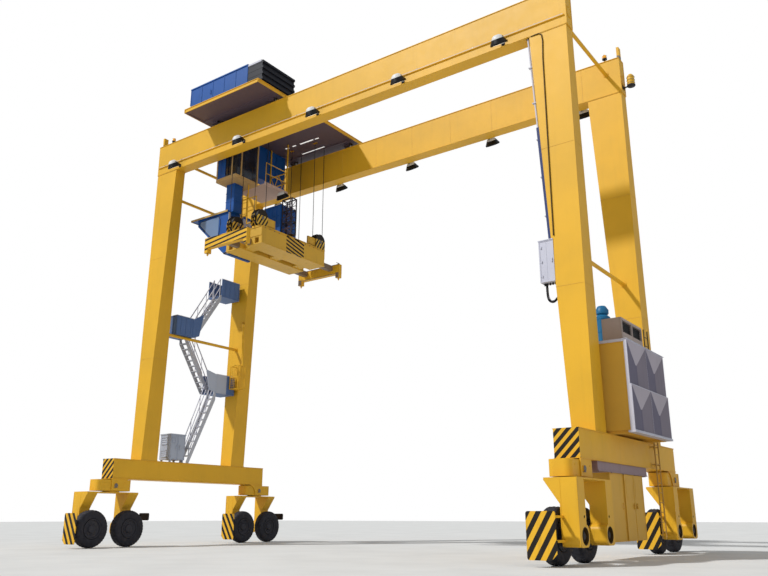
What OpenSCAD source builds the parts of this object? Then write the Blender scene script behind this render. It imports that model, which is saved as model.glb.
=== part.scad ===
// Rubber tyred gantry crane: two box girders on four tapered legs, a trolley with a
// telescopic container spreader, and four swivelling two-wheel bogies.
// X is the trolley's way across the lane, Y the way the crane drives, Z up from the ground.

/* [Portal] */
// Distance between the centre lines of the two sill beams
sill_span = 19286; // [18600:2:20600]
// Height of the top of the girders
girder_top = 17660; // [16800:10:18600]
// Depth of each box girder
girder_depth = 1440; // [1200:10:1600]
// Width of each box girder
girder_w = 490; // [440:2:560]
// Distance between the centre lines of the two girders
girder_gap = 5090; // [4900:2:5300]
// Width of a leg across the lane at the girder
leg_top_w = 1280; // [1000:10:1400]
// Width of a leg across the lane at the sill
leg_foot_w = 679; // [560:1:700]
// Depth of a leg along the sill at its foot
leg_foot_d = 820; // [620:10:900]
// Distance between the outer faces of the feet of a pair of legs
leg_foot_spread = 5800; // [5700:10:6000]
// Radius of the tie pipes between near and far legs
tie_r = 65; // [50:1:90]

/* [Sills] */
// Height of the top of the sill beams
sill_top = 3373; // [3300:1:3450]
// Depth of a sill beam
sill_h = 786; // [700:1:820]
// Width of a sill beam
sill_w = 705; // [690:1:740]
// Length of a sill beam
sill_len = 8366; // [8300:2:8600]
// Thickness of the lug plates that hold the bogie pins
lug_t = 30; // [20:1:34]
// Depth of the lugs below the sill
lug_drop = 447; // [430:1:450]

/* [Bogies] */
// Distance between the pivots of the two bogies of a sill
bogie_base = 7980; // [7940:2:8040]
// Distance between the two axles of a bogie
wheel_base = 1680; // [1620:2:1760]
// Outer radius of a tyre
tyre_r = 698; // [660:1:720]
// Width of a tyre
tyre_w = 400; // [340:2:420]
// Radius of the rim's edge in a tyre
rim_r = 330; // [280:2:360]
// Height of the top plate of a bogie
bogie_top = 2080; // [2060:1:2090]
// Thickness of the top plate of a bogie
bogie_plate_t = 40; // [25:1:60]
// Length of an arm's side along the sill
arm_len = 660; // [600:2:700]
// Thickness of an arm across the wheel
arm_t = 470; // [440:2:500]
// Height of the lower end of the arms
arm_foot = 440; // [380:5:460]
// Radius of the wheel drive's opening in an arm
hub_opening_r = 215; // [180:1:230]
// Radius of a wheel's axle stub
axle_r = 110; // [90:1:130]
// Radius of the vertical king pin of a bogie
king_r = 100; // [80:1:120]
// Radius of the level pin on which a bogie rocks
rock_pin_r = 60; // [45:1:75]
// Height of the rocking pin
rock_pin_z = 2330; // [2310:1:2350]
// Width of a striped guard
guard_w = 760; // [700:5:800]
// Height of a striped guard
guard_h = 1120; // [900:10:1160]

/* [Trolley] */
// Place of the trolley across the lane, from the middle of the span
trolley_x = -4750; // [-4900:10:-4300]
// Length of the trolley deck across the lane
deck_len = 4400; // [4200:10:4800]
// Width of the trolley deck along the crane
deck_w = 7940; // [7600:10:8200]
// Thickness of the trolley deck
deck_t = 170; // [120:5:240]
// Height of the crane rail
rail_h = 110; // [90:1:140]
// Width of the crane rail's head
rail_w = 90; // [70:1:120]
// Radius of a trolley wheel
trolley_wheel_r = 165; // [150:1:168]
// Radius of the hoist drum
drum_r = 450; // [400:2:480]
// Radius of a hoist rope
rope_r = 13; // [9:1:18]

/* [Spreader] */
// Height of the seat faces that rest on a container's top corners
seat_z = 11630; // [11400:10:11900]
// Length of the shorter container that the spreader holds
short_len = 6058; // [6000:2:6100]
// Length of the longer container that the spreader holds
long_len = 12192; // [12000:2:12300]
// Width of a container
box_w = 2438; // [2400:2:2500]
// Length of the spreader's fixed frame
frame_len = 4000; // [3800:10:4200]
// Depth of the spreader's fixed frame
frame_h = 750; // [600:10:800]
// Height of the spreader's end beams
beam_h = 450; // [400:5:480]
// Radius of a rope sheave
sheave_r = 330; // [280:2:360]

/* [Right side] */
// Height of the generator house
house_h = 2580; // [2300:10:2900]
// Length of the generator house along the sill
house_len = 3450; // [3200:10:3600]
// Depth of the generator house across the sill
house_d = 1309; // [1200:1:1400]
// Reach of a cooling hood from its frame
hood_reach = 230; // [150:5:300]
// Height of the hanging drive cabinet
cabinet_h = 1850; // [1600:10:1900]
// Width of a door of the drive cabinet
door_w = 790; // [700:2:800]
// Thickness of a door of the drive cabinet
door_t = 30; // [20:1:40]

/* [Access] */
// Clear width of a stair flight
stair_w = 450; // [400:5:470]
// Height from one landing to the next
storey = 2300; // [2100:10:2450]
// Height of a guard rail
rail_height = 1050; // [950:10:1150]

/* [Hidden] */
$fn = 48;

yellow = "#f2c230";
shade_yellow = "#d9a92a";
grey = "#8f9094";
dark = "#33343a";
blue = "#2f62b5";
black = "#1d1e22";

seat_gap = 0.3;      // rest gap between pieces of different bodies
fit = 0.05;          // radial clearance of a pin in its bore
eps = 1;             // overshoot of a cutter

sill_x = sill_span / 2;
sill_bottom = sill_top - sill_h;
outer_x = sill_x + sill_w / 2;
inner_x = sill_x - sill_w / 2;
leg_out_x = inner_x + leg_foot_w;
girder_bottom = girder_top - girder_depth;
girder_y = girder_gap / 2;
girder_in_y = girder_y - girder_w / 2;
girder_out_y = girder_y + girder_w / 2;
girder_half = leg_out_x + 20;
leg_foot_out = leg_foot_spread / 2;
leg_foot_in = leg_foot_out - leg_foot_d;

bogie_y = bogie_base / 2;
bogie_in = -263;                         // bogie plate's inner edge from the pivot
bogie_out = 607;                         // bogie's outer face from the pivot
arm_in = bogie_out - arm_t;
wheel_x = arm_in - 90 - tyre_w / 2;
plate_half = wheel_base / 2 + arm_len / 2;
arm_reach = arm_len / 2;
arm_w = arm_len - 220;     // the arm above the hub opening
saddle_bottom = bogie_top + 40;
guard_y = wheel_base / 2 + tyre_r + 172;
guard_t = 30;
guard_foot = 160;
guard_top = guard_foot + guard_h;

rail_top = girder_top + rail_h;
deck_bottom = rail_top + 180;
deck_top = deck_bottom + deck_t;
deck_left = trolley_x - deck_len / 2;
deck_right = trolley_x + deck_len / 2;
deck_half = deck_w / 2;

spread_x = trolley_x - 190;
half_short = short_len / 2;
stroke = (long_len - short_len) / 2;
beam_bottom = seat_z + 190;
beam_top = beam_bottom + beam_h;
frame_bottom = beam_bottom + 130;
frame_top = frame_bottom + frame_h;
frame_half = frame_len / 2;
sheave_dx = 720;
sheave_dy = girder_in_y - 440;
sheave_z = frame_top + 400;

first_rise = storey + 980;
deck_plate = 60;

hood_right = inner_x + house_d + 40 + 100 + hood_reach;
origin_shift = -(hood_right - (sill_x + bogie_out)) / 2;

house_near = 180 - leg_foot_in;
house_floor = sill_top + 77;
house_top = house_floor + house_h;
house_x = inner_x + house_d;

// Moves a piece from the middle of the span to the row's origin
module placed() { translate([origin_shift, 0, 0]) children(); }

// A box from its lowest to its highest corner
module slab(a, b) { translate(a) cube(b - a); }

// A rod between two points
module rod(a, b, r, sides = 12) {
    d = b - a;
    flat = norm([d[0], d[1]]);
    translate(a) rotate([0, atan2(flat, d[2]), atan2(d[1], d[0])]) cylinder(r = r, h = norm(d), $fn = sides);
}

// A round pipe through a list of points, with a ball a little thicker than it at each bend
module pipe(points, r, sides = 16) {
    for (i = [0 : len(points) - 2]) rod(points[i], points[i + 1], r, sides);
    for (i = [1 : 1 : len(points) - 2]) translate(points[i]) sphere(r = 1.1 * r, $fn = 24);
}

// A flat outline in Y and Z, made solid from x0 to x1
module side_plate(x0, x1) {
    translate([x0, 0, 0]) rotate([90, 0, 90]) linear_extrude(x1 - x0) children();
}

// A flat outline in X and Z, made solid from y0 to y1
module cross_plate(y0, y1) {
    translate([0, y1, 0]) rotate([90, 0, 0]) linear_extrude(y1 - y0) children();
}

// A rectangle with rounded corners
module rounded(x0, y0, x1, y1, r) {
    translate([x0 + r, y0]) square([x1 - x0 - 2 * r, y1 - y0]);
    translate([x0, y0 + r]) square([x1 - x0, y1 - y0 - 2 * r]);
    for (x = [x0 + r, x1 - r]) for (y = [y0 + r, y1 - r]) translate([x, y]) circle(r = r, $fn = 32);
}

// A leg that narrows downwards across the lane and widens along the sill
module leg_solid(sx, sy) {
    mirror([sx < 0 ? 1 : 0, 0, 0]) mirror([0, sy < 0 ? 1 : 0, 0]) intersection() {
        cross_plate(leg_foot_in - 500, leg_foot_out + 500) polygon([[inner_x, sill_top],
            [leg_out_x, sill_top], [leg_out_x, girder_bottom], [leg_out_x - leg_top_w, girder_bottom]]);
        side_plate(leg_out_x - leg_top_w - eps, leg_out_x + eps) polygon([[leg_foot_in, sill_top],
            [leg_foot_out, sill_top], [girder_out_y, girder_bottom], [girder_in_y, girder_bottom]]);
    }
}

module leg(sx, sy) { color(yellow) placed() leg_solid(sx, sy); }

ledge_z = girder_bottom + 330;
ledge_d = 45;

// Box girder with a conduit ledge on its outer web and closed ends
module girder(sy) {
    color(yellow) placed() mirror([0, sy < 0 ? 1 : 0, 0]) {
        slab([-girder_half, girder_in_y, girder_bottom], [girder_half, girder_out_y, girder_top]);
        slab([-girder_half + 60, girder_out_y, ledge_z], [girder_half - 60, girder_out_y + ledge_d, ledge_z + 28]);
    }
}

module trolley_rails() {
    color(grey) placed() for (sy = [-1, 1]) translate([0, sy * girder_y, girder_top]) {
        slab([-girder_half + 100, -rail_w / 2, 20], [girder_half - 100, rail_w / 2, rail_h]);
        slab([-girder_half + 100, -rail_w, 0], [girder_half - 100, rail_w, 20]);
        for (sx = [-1, 1]) translate([sx * (girder_half - 55), 0, 0]) slab([-45, -110, 0], [45, 110, 520]);
    }
}

lug_foot = sill_bottom - lug_drop;
lug_in = bogie_y - 690;

// Outline of a lug: flat foot, hollow curve up to the sill's lower edge
module lug_outline() {
    difference() {
        translate([lug_in, lug_foot]) square([sill_len / 2 - lug_in, lug_drop + 10]);
        translate([lug_in, lug_foot]) circle(r = lug_drop);
        translate([bogie_y, rock_pin_z]) circle(r = rock_pin_r + fit);
    }
}

module sill(sx) {
    color(yellow) placed() mirror([sx < 0 ? 1 : 0, 0, 0]) union() {
        slab([inner_x, -sill_len / 2, sill_bottom], [outer_x, sill_len / 2, sill_top]);
        for (sy = [0, 1]) mirror([0, sy, 0]) {
            side_plate(inner_x, inner_x + lug_t) lug_outline();
            side_plate(outer_x - lug_t, outer_x) lug_outline();
        }
    }
}

tie_x = sill_x - 190;
tie_low = sill_top + first_rise + storey - deck_plate - seat_gap - tie_r;
tie_mid = girder_bottom - 1020;
tie_high = girder_bottom + 880;

// Tie pipes along Y between the near and far frames
module tie_pipes() {
    color(yellow) placed() difference() {
        union() {
            for (sx = [-1, 1]) for (z = [tie_low, tie_high]) tie(sx, z);
            tie(-1, tie_mid);
        }
        for (sx = [-1, 1]) for (sy = [-1, 1]) leg_solid(sx, sy);
        for (sy = [-1, 1]) translate([0, sy * girder_y, girder_bottom + girder_depth / 2])
            cube([3 * girder_half, girder_w, girder_depth], center = true);
    }
}

module tie(sx, z) {
    translate([sx * tie_x, 0, z]) rotate([90, 0, 0]) cylinder(r = tie_r, h = 2 * girder_in_y + 40, center = true);
}

lamp_w = 600;
lamp_out = 380;           // lamp centre from the girder's web
lamp_inset = 589.5;        // from a leg's inner face to the nearest lamp's middle, with the lamps' shift
lamp_pitch = (leg_out_x - leg_top_w - lamp_inset) / 2;

module floodlights() {
    color(black) placed() for (i = [-2 : 2]) {
        translate([i * lamp_pitch - 350, -girder_out_y, girder_bottom + 40]) rotate([0, 0, 180]) lamp_on_web();
        translate([i * lamp_pitch + 100, girder_out_y, girder_bottom + 40]) lamp_on_web();
    }
}

module lamp_on_web() {
    slab([-30, 0, -20], [30, 20, 120]);
    slab([-20, 20, 20], [20, lamp_out - 100, 50]);
    translate([0, lamp_out, 0]) rotate([-35, 0, 0]) {
        translate([0, 0, -140]) cylinder(r = lamp_w / 2, h = 60, $fn = 32);
        translate([0, 0, -80]) cylinder(r1 = lamp_w / 2 - 20, r2 = lamp_w / 2 - 130, h = 200, $fn = 32);
        translate([0, 0, 120]) cylinder(r1 = lamp_w / 2 - 130, r2 = lamp_w / 2 - 210, h = 60, $fn = 32);
    }
}

// Warning lamps: one on each girder's top, one on a bracket at the far right end
module beacons() {
    color("#e07a1c") placed() {
        translate([389.5 - girder_half, -girder_y, girder_top]) beacon();
        translate([girder_half - 659.5, girder_y, girder_top]) beacon();
        translate([girder_half, girder_y, girder_top - 760]) {
            slab([0, -90, -60], [40, 90, 60]);
            slab([40, -25, -25], [300, 25, 25]);
            translate([300, 0, -25]) cylinder(r = 150, h = 60);
            translate([300, 0, 35]) cylinder(r = 130, h = 330);
            translate([300, 0, 365]) sphere(r = 130);
        }
    }
}

module beacon() {
    translate([0, 200, 0]) {
        cylinder(r = 30, h = 360);
        translate([0, 0, 360]) cylinder(r = 95, h = 40);
        translate([0, 0, 400]) cylinder(r = 80, h = 150);
    }
}

box_z = sill_top + 4427;
box_h = 1290;
box_x = sill_x - 1023;     // lane side of the junction box
box_w2 = 463;              // its width across the lane
box_y = 40 - leg_foot_out; // its near face
box_d = 360;               // its depth along the sill
hose_y = box_y + 160;

// Cable junction box on the near right leg, its conduit from the girder and its hose
module leg_junction_box() {
    color(grey) placed() difference() {
        union() {
            slab([box_x, box_y, box_z], [box_x + box_w2, box_y + box_d, box_z + box_h]);
            rod([box_x + 323, hose_y, box_z + box_h - 10], [leg_out_x - leg_top_w - 80, 90 - girder_out_y, girder_bottom], 32, 16);
            pipe([[box_x + 123, hose_y, box_z + 20], [box_x + 133, hose_y, box_z - 380], [box_x + 193, hose_y, box_z - 540],
                [box_x + 313, hose_y, box_z - 580], [box_x + 423, hose_y, box_z - 500], [box_x + 523, hose_y, box_z - 400]], 30);
        }
        leg_solid(1, -1);
        slab([0, -girder_out_y, girder_bottom], [girder_half, -girder_in_y, girder_top]);
    }
}

bearer_h = house_floor - sill_top;

// Generator house on two bearers, standing out over the lane's outer side
module generator_house() {
    color(shade_yellow) placed() {
        slab([inner_x, house_near, house_floor], [house_x, house_near + house_len, house_top]);
        for (y = [house_near + 60, house_near + house_len - 260])
            slab([inner_x, y, sill_top], [house_x - 40, y + 200, house_floor]);
    }
}

hood_w = house_len / 2 - 60;
hood_h = house_h / 2 - 50;

// A wedge hood: two cheeks that meet in a ridge, under a sloping three-sided cap
module hood() {
    intersection() {
        linear_extrude(hood_h) polygon([[0, -hood_w / 2], [hood_reach, 0], [0, hood_w / 2]]);
        cross_plate(-hood_w, hood_w) polygon([[-eps, 0], [hood_reach + eps, 0],
            [hood_reach + eps, hood_h * 0.52], [0, hood_h], [-eps, hood_h]]);
    }
}

module cooling_hoods() {
    mid_y = house_near + house_len / 2;
    color(grey) placed() {
        slab([house_x, house_near, house_floor], [house_x + 40, house_near + house_len, house_top]);
        slab([house_x + 40, house_near, house_floor], [house_x + 140, house_near + house_len, house_floor + house_h / 2 - 10]);
        for (sy = [-1, 1]) translate([0, mid_y + sy * (hood_w / 2 + 20), 0]) {
            translate([house_x + 140, 0, house_floor + 30]) hood();
            translate([house_x + 40, 0, house_floor + house_h / 2 + 10]) hood();
        }
    }
}

vent_h = 840;
vent_len = 1900;
vent_y = house_near + 750;

// Vent box on the house roof with two square outlets
module vent_box() {
    color(grey) placed() difference() {
        slab([house_x - 850, vent_y, house_top], [house_x - 250, vent_y + vent_len, house_top + vent_h]);
        for (y = [vent_y + 80, vent_y + vent_len - 910])
            slab([house_x - 600, y, house_top + 220], [house_x, y + 830, house_top + vent_h - 80]);
    }
}

module exhaust_drum() {
    color(blue) placed() translate([inner_x + 200, house_near + 1600, house_top]) {
        cylinder(r = 150, h = 200);
        translate([0, 0, 200]) cylinder(r = 240, h = 900);
        translate([0, 0, 1100]) cylinder(r1 = 240, r2 = 110, h = 120);
    }
}

tray_drop = 257;

module sill_tray() {
    color(dark) placed() slab([inner_x + 60, -leg_foot_out, sill_bottom - tray_drop], [outer_x - 46, leg_foot_in - 880, sill_bottom]);
}

cabinet_near = -1950;
cabinet_far = 750;
cabinet_top = sill_bottom - tray_drop;
cabinet_foot = cabinet_top - cabinet_h;
cabinet_x0 = inner_x + 60;
cabinet_d = 549.5;
cabinet_x1 = cabinet_x0 + cabinet_d;
hinge_x = cabinet_x1 + seat_gap + door_t;
door_split = cabinet_far - door_w - 10;
bay_wall = 30;
hinge_r = 6;
barrel_r = 12;
pin_len = 36;
lug_thick = 6;

// Drive cabinet under the sill with an open bay behind its double doors
module drive_cabinet() {
    color(shade_yellow) placed() {
        difference() {
            slab([cabinet_x0, cabinet_near, cabinet_foot], [cabinet_x1, cabinet_far, cabinet_top]);
            slab([cabinet_x0 + bay_wall, door_split - door_w + bay_wall, cabinet_foot + bay_wall],
                [cabinet_x1 + eps, cabinet_far - bay_wall, cabinet_top - bay_wall]);
        }
        for (y = [door_split - door_w, cabinet_far]) hinge_lugs(y);
    }
}

// Lugs with pivot pins below and above a door's hinge barrel
module hinge_lugs(y) {
    translate([hinge_x, y, cabinet_foot]) for (z = [0, cabinet_h - lug_thick]) {
        translate([0, 0, z]) slab([-door_t - seat_gap - 20, -barrel_r, 0], [barrel_r, barrel_r, lug_thick]);
        translate([0, 0, z > 0 ? cabinet_h - pin_len : 0]) cylinder(r = hinge_r, h = pin_len, $fn = 24);
    }
}

// One door leaf with its hinge barrel and handle; the hinge is at y 0 and the leaf runs to +Y
module door_leaf() {
    difference() {
        union() {
            slab([-door_t, 2, 12], [0, door_w, cabinet_h - 12]);
            translate([0, 0, 12]) cylinder(r = barrel_r, h = cabinet_h - 24, $fn = 24);
        }
        for (z = [12 - eps, cabinet_h - pin_len - 5]) translate([0, 0, z]) cylinder(r = hinge_r + fit, h = pin_len, $fn = 24);
    }
    translate([0, door_w - 130, cabinet_h * 0.52]) {
        slab([0, -12, -70], [28, 12, -50]);
        slab([0, -12, 50], [28, 12, 70]);
        slab([28, -14, -80], [44, 14, 80]);
    }
}

module near_cabinet_door() {
    color(shade_yellow) placed() translate([hinge_x, door_split - door_w, cabinet_foot]) door_leaf();
}

module far_cabinet_door() {
    color(shade_yellow) placed() translate([hinge_x, cabinet_far, cabinet_foot]) mirror([0, 1, 0]) door_leaf();
}

ladder_y = house_near + house_len + 60;
ladder_w = 380;
rung_pitch = 290;
first_rung = 700;
ladder_x = house_x + 60;

// Boarding ladder from near the ground to the generator house roof
module boarding_ladder() {
    color(grey) placed() {
        for (y = [ladder_y, ladder_y + ladder_w]) {
            rod([outer_x + 150, y, 500], [outer_x + 150, y, house_top + 1050], 22);
            for (z = [sill_bottom + 120, sill_top - 120]) rod([outer_x, y, z], [outer_x + 150, y, z], 16);
        }
        for (i = [0 : floor((house_top + 1050 - rung_pitch - first_rung) / rung_pitch)])
            rod([outer_x + 150, ladder_y, first_rung + i * rung_pitch], [outer_x + 150, ladder_y + ladder_w, first_rung + i * rung_pitch], 12, 8);
    }
}

// Cabinet on feet on the left sill, with an overhanging roof
module left_cabinet() {
    color(grey) placed() translate([-outer_x, -1460, sill_top]) {
        slab([20, 20, 110], [sill_w - 20, 820, 1150]);
        slab([0, 0, 1150], [sill_w, 840, 1195]);
        for (x = [40, sill_w - 120]) for (y = [60, 720]) slab([x, y, 0], [x + 80, y + 60, 110]);
    }
}

lane_in = -inner_x - stair_w;
lane_out = lane_in - stair_w - 10;
first_y = -560;
flight_y0 = -650;
flight_y1 = 900;
far_landing = min(leg_foot_in, girder_in_y) - 50 - flight_y1;
near_landing = leg_foot_in - 460 + flight_y0;
step_n = 9;

// A stair flight that rises along +Y from the origin: two stringers and its treads
module flight(rise, run, sink = 0) {
    step_h = rise / (step_n + 1);
    step_d = run / (step_n + 1);
    for (x = [0, stair_w - 12]) side_plate(x, x + 12) polygon([[0, -sink], [150, -sink], [run, rise - 170 * rise / run],
        [run, rise], [run - 60, rise], [0, 60]]);
    for (i = [1 : step_n]) slab([12, i * step_d - 60, i * step_h - 30], [stair_w - 12, i * step_d + 150, i * step_h]);
    for (x = [0, stair_w - 30]) {
        slab([x, 105, 90], [x + 30, 135, 930]);
        slab([x, run - 120, rise - 160], [x + 30, run - 90, rise + 780]);
        side_plate(x, x + 30) polygon([[105, 900], [run - 90, rise + 760], [run - 90, rise + 800], [105, 940]]);
    }
}

module stair_flights() {
    color(grey) placed() {
        translate([lane_in, first_y, sill_top]) flight(first_rise, flight_y1 - first_y);
        translate([lane_out, flight_y1, sill_top + first_rise]) mirror([0, 1, 0])
            flight(storey, flight_y1 - flight_y0, deck_plate);
        translate([lane_in, flight_y0, sill_top + first_rise + storey])
            flight(storey, flight_y1 - flight_y0, deck_plate);
    }
}

// A landing with closed balustrade panels on three sides
landing_panel = rail_height - 250;

module landing(deep) {
    w = 2 * stair_w + 10;
    slab([0, 0, -deck_plate], [w, deep, 0]);
    for (x = [0, w - 20]) slab([x, 0, -deck_plate], [x + 20, deep, landing_panel]);
    slab([0, deep - 20, -deck_plate], [w, deep, landing_panel]);
}

module stair_landings() {
    color(blue) placed() {
        for (i = [0, 2]) translate([lane_out, flight_y1, sill_top + first_rise + i * storey]) landing(far_landing);
        translate([lane_out, flight_y0, sill_top + first_rise + storey]) mirror([0, 1, 0]) landing(near_landing);
    }
}

perch_z = sill_top + 3477;

// Small wire basket and bent pipe on the far left leg
module leg_basket() {
    color(yellow) placed() difference() {
        union() {
            translate([-inner_x + 30, leg_foot_in - 400, perch_z]) {
                slab([0, 0, 0], [560, 480, 30]);
                for (x = [0, 530]) for (y = [0, 440]) slab([x, y, 0], [x + 30, y + 30, 1100]);
                for (z = [540, 1070]) {
                    slab([0, 0, z], [560, 30, z + 30]);
                    for (x = [0, 530]) slab([x, 0, z], [x + 30, 480, z + 30]);
                }
            }
            pipe([[-inner_x + 140, leg_foot_in + 170, perch_z + 3300], [-inner_x + 490, leg_foot_in - 120, perch_z + 3050],
                [-inner_x + 575, leg_foot_in - 120, perch_z + 1085]], 60);
        }
        leg_solid(-1, 1);
    }
}

rope_slot_w = 60;

// Trolley deck: plate with rope slots, wheel pockets and axle blocks beside the rails
module trolley_deck() {
    color(shade_yellow) placed() difference() {
        union() {
            slab([deck_left, -deck_half, deck_bottom], [deck_right, deck_half, deck_top]);
            for (sx = [-1, 1]) for (sy = [-1, 1]) for (s = [-1, 1])
                translate([trolley_x + sx * (deck_len / 2 - 500), sy * girder_y + s * 125, deck_bottom])
                    slab([-140, -25, -110], [140, 25, 10]);
        }
        for (sx = [-1, 1]) for (sy = [-1, 1]) translate([trolley_x + sx * (deck_len / 2 - 500), sy * girder_y, deck_bottom])
            slab([-240, -100, -eps], [240, 100, deck_t - 8]);
        for (sx = [-1, 1]) for (sy = [-1, 1]) translate([spread_x + sx * sheave_dx, sy * (sheave_dy - sheave_r), deck_bottom])
            slab([-120, -rope_slot_w, -eps], [120, rope_slot_w, deck_t + eps]);
        slab([deck_left + 150, -girder_in_y + 150, deck_bottom - eps], [deck_right - 150, girder_in_y - 150, deck_bottom + 25]);
        for (sy = [-1, 1]) translate([0, sy * (girder_out_y + deck_half) / 2, 0])
            slab([deck_left + 80, -420, deck_bottom - eps], [deck_right - 80, 420, deck_bottom + 25]);
    }
}

house_y0 = -deck_half + 270;
house_y1 = sheave_r - sheave_dy - 230;

// Blue machinery housing on the near overhang, cut away under its left end
module machinery_housing() {
    color(blue) placed() difference() {
        slab([deck_left, house_y0, deck_top], [deck_right - 900, house_y1, deck_top + 1100]);
        cross_plate(house_y0 - eps, house_y1 + eps) polygon([[deck_left - eps, deck_top - eps],
            [deck_left + 300, deck_top - eps], [deck_left - eps, deck_top + 300]]);
    }
}

// Resistor and cooler box with deep ribs round it
module radiator_box() {
    color(black) placed() {
        slab([deck_right - 900, house_y0 + 60, deck_top], [deck_right - 90, house_y1 - 60, deck_top + 1060]);
        for (i = [0 : 3]) slab([deck_right - 900, house_y0, deck_top + 130 + i * 260], [deck_right - 30, house_y1, deck_top + 230 + i * 260]);
    }
}

drum_z = deck_top + 560;
drum_half = 1300;

// Hoist drum on two bearing blocks, with a closed box over each rope slot
module hoist_drum() {
    color(grey) placed() translate([spread_x, 0, 0]) {
        translate([0, 0, drum_z]) rotate([90, 0, 0]) cylinder(r = drum_r, h = 2 * drum_half, center = true);
        for (sy = [-1, 1]) {
            translate([0, sy * drum_half, drum_z]) rotate([90, 0, 0]) cylinder(r = drum_r + 30, h = 40, center = true);
            translate([0, sy * (drum_half + 110), 0]) slab([-260, -95, deck_top], [260, 95, drum_z + 130]);
        }
        for (sx = [-1, 1]) for (sy = [-1, 1]) translate([sx * sheave_dx, sy * (sheave_dy - sheave_r - 20), deck_top])
            slab([-130, -110, 0], [130, 110, 420]);
    }
}

module trolley_wheels() {
    color(dark) placed() for (sx = [-1, 1]) for (sy = [-1, 1])
        translate([trolley_x + sx * (deck_len / 2 - 500), sy * girder_y, rail_top + seat_gap + trolley_wheel_r]) rotate([90, 0, 0]) {
            cylinder(r = trolley_wheel_r, h = 120, center = true);
            cylinder(r = 40, h = 200, center = true);
        }
}

room_x1 = spread_x - sheave_dx - rope_r - 47;
room_y0 = 350 - girder_in_y;
room_y1 = -600;
room_floor = 15450;

// Glazed electrical cabin under the deck: corner posts, closed back, window panels
module electrical_cabin() {
    color(grey) placed() {
        slab([deck_left, room_y0, room_floor - 50], [room_x1, room_y1, room_floor]);
        slab([deck_left + 30, room_y0 + 30, room_floor], [room_x1 - 30, room_y1 - 30, deck_bottom]);
        for (x = [deck_left, room_x1 - 60]) for (y = [room_y0, room_y1 - 60]) slab([x, y, room_floor], [x + 60, y + 60, deck_bottom]);
        slab([deck_left + 670, room_y0, room_floor], [deck_left + 730, room_y0 + 60, deck_bottom]);
    }
}

module switchgear_box() {
    color(blue) placed() slab([deck_left, 0, deck_bottom - 1650], [deck_left + 500, girder_in_y - 400, deck_bottom]);
}

walk_y1 = 900;
walk_x0 = deck_left + 540;
walk_x1 = deck_left + 1650;

// Walkway beside the cabin, its cross-braced rail and a short ladder to the cab roof
module trolley_walkway() {
    bay = (walk_x1 - walk_x0 - 100) / 2;
    color(yellow) placed() {
        slab([deck_left, room_y1 + 1, room_floor - 50], [walk_x1, walk_y1, room_floor]);
        for (x = [walk_x0, walk_x1 - 50]) slab([x, walk_y1 - 50, room_floor], [x + 50, walk_y1, deck_bottom]);
        for (z = [520, 1040]) slab([walk_x0 + 50, walk_y1 - 45, room_floor + z], [walk_x1 - 50, walk_y1 - 5, room_floor + z + 40]);
        for (i = [0, 1]) for (s = [0, 1]) {
            x = walk_x0 + 50 + i * bay;
            rod([x + s * bay, walk_y1 - 25, room_floor], [x + (1 - s) * bay, walk_y1 - 25, room_floor + 1050], 18, 8);
        }
        for (x = [deck_left + 60, deck_left + 440]) rod([x, room_y1 + 160, cab_roof], [x, room_y1 + 160, room_floor - 50], 20, 8);
        for (i = [0 : 3]) rod([deck_left + 60, room_y1 + 160, cab_roof + 200 + i * 280], [deck_left + 440, room_y1 + 160, cab_roof + 200 + i * 280], 12, 8);
    }
}

cab_x1 = spread_x - box_w / 2 - 300;
cab_x0 = cab_x1 - 1961;
cab_y0 = -1540;
cab_y1 = -100;
cab_roof = 14120;
cab_floor = cab_roof - 2020;
cab_lip = 360;           // height of the upright band over the slanted front
cab_run = 1800;          // how far the slanted front runs in below
cab_wall = 60;
pane = 12;

// Outline of the operator's cab from the side: upright back, front that slants in below
module cab_outline() {
    polygon([[cab_x0, cab_roof - 60], [cab_x1, cab_roof - 60], [cab_x1, cab_floor],
        [cab_x0 + cab_run, cab_floor], [cab_x0, cab_roof - cab_lip]]);
}

// Operator's cab: roof plate, hanger column and a hollow shell with window openings
module operator_cab() {
    color(blue) placed() {
        slab([cab_x0 - 400, cab_y0 - 60, cab_roof - 60], [deck_left + 491, cab_y1 + 60, cab_roof]);
        slab([deck_left + 200, -1480, cab_roof - 60], [deck_left + 700, -1000, room_floor - 50]);
        difference() {
            cross_plate(cab_y0, cab_y1) cab_outline();
            cross_plate(cab_y0 + cab_wall, cab_y1 - cab_wall) offset(delta = -cab_wall) cab_outline();
            cross_plate(cab_y0 - eps, cab_y0 + cab_wall + eps) cab_window();
            cross_plate(cab_y1 - cab_wall - eps, cab_y1 + eps) cab_window();
            slab([cab_x1 - cab_wall - eps, cab_y0 + 200, cab_roof - 1000], [cab_x1 + eps, cab_y1 - 700, cab_roof - 260]);
            front_pane(-80, 140);
        }
    }
}

front_angle = atan2(cab_roof - cab_lip - cab_floor, cab_run);
front_len = norm([cab_roof - cab_lip - cab_floor, cab_run]);

// A flat block in the slanted front, from depth a to depth b below its outer face
module front_pane(a, b) {
    translate([cab_x0, 0, cab_roof - cab_lip]) rotate([0, front_angle, 0])
        slab([200, cab_y0 + 120, a], [front_len - 420, cab_y1 - 120, b]);
}

// Outline of a side window, cut along the slanted front
module cab_window() {
    lean = cab_run / (cab_roof - cab_lip - cab_floor);
    polygon([[cab_x0 + 160, cab_roof - 190], [cab_x1 - 600, cab_roof - 190], [cab_x1 - 600, cab_roof - 1150],
        [cab_x0 + 170 + (1150 - cab_lip) * lean, cab_roof - 1150], [cab_x0 + 160, cab_roof - cab_lip]]);
}

module cab_glass() {
    color(black) placed() {
        for (y = [cab_y0 + 20, cab_y1 - 20 - pane]) cross_plate(y, y + pane) cab_window();
        slab([cab_x1 - 20 - pane, cab_y0 + 200, cab_roof - 1000], [cab_x1 - 20, cab_y1 - 700, cab_roof - 260]);
        front_pane(20, 20 + pane);
    }
}

block_h = 260;
sheave_t = 90;

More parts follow.
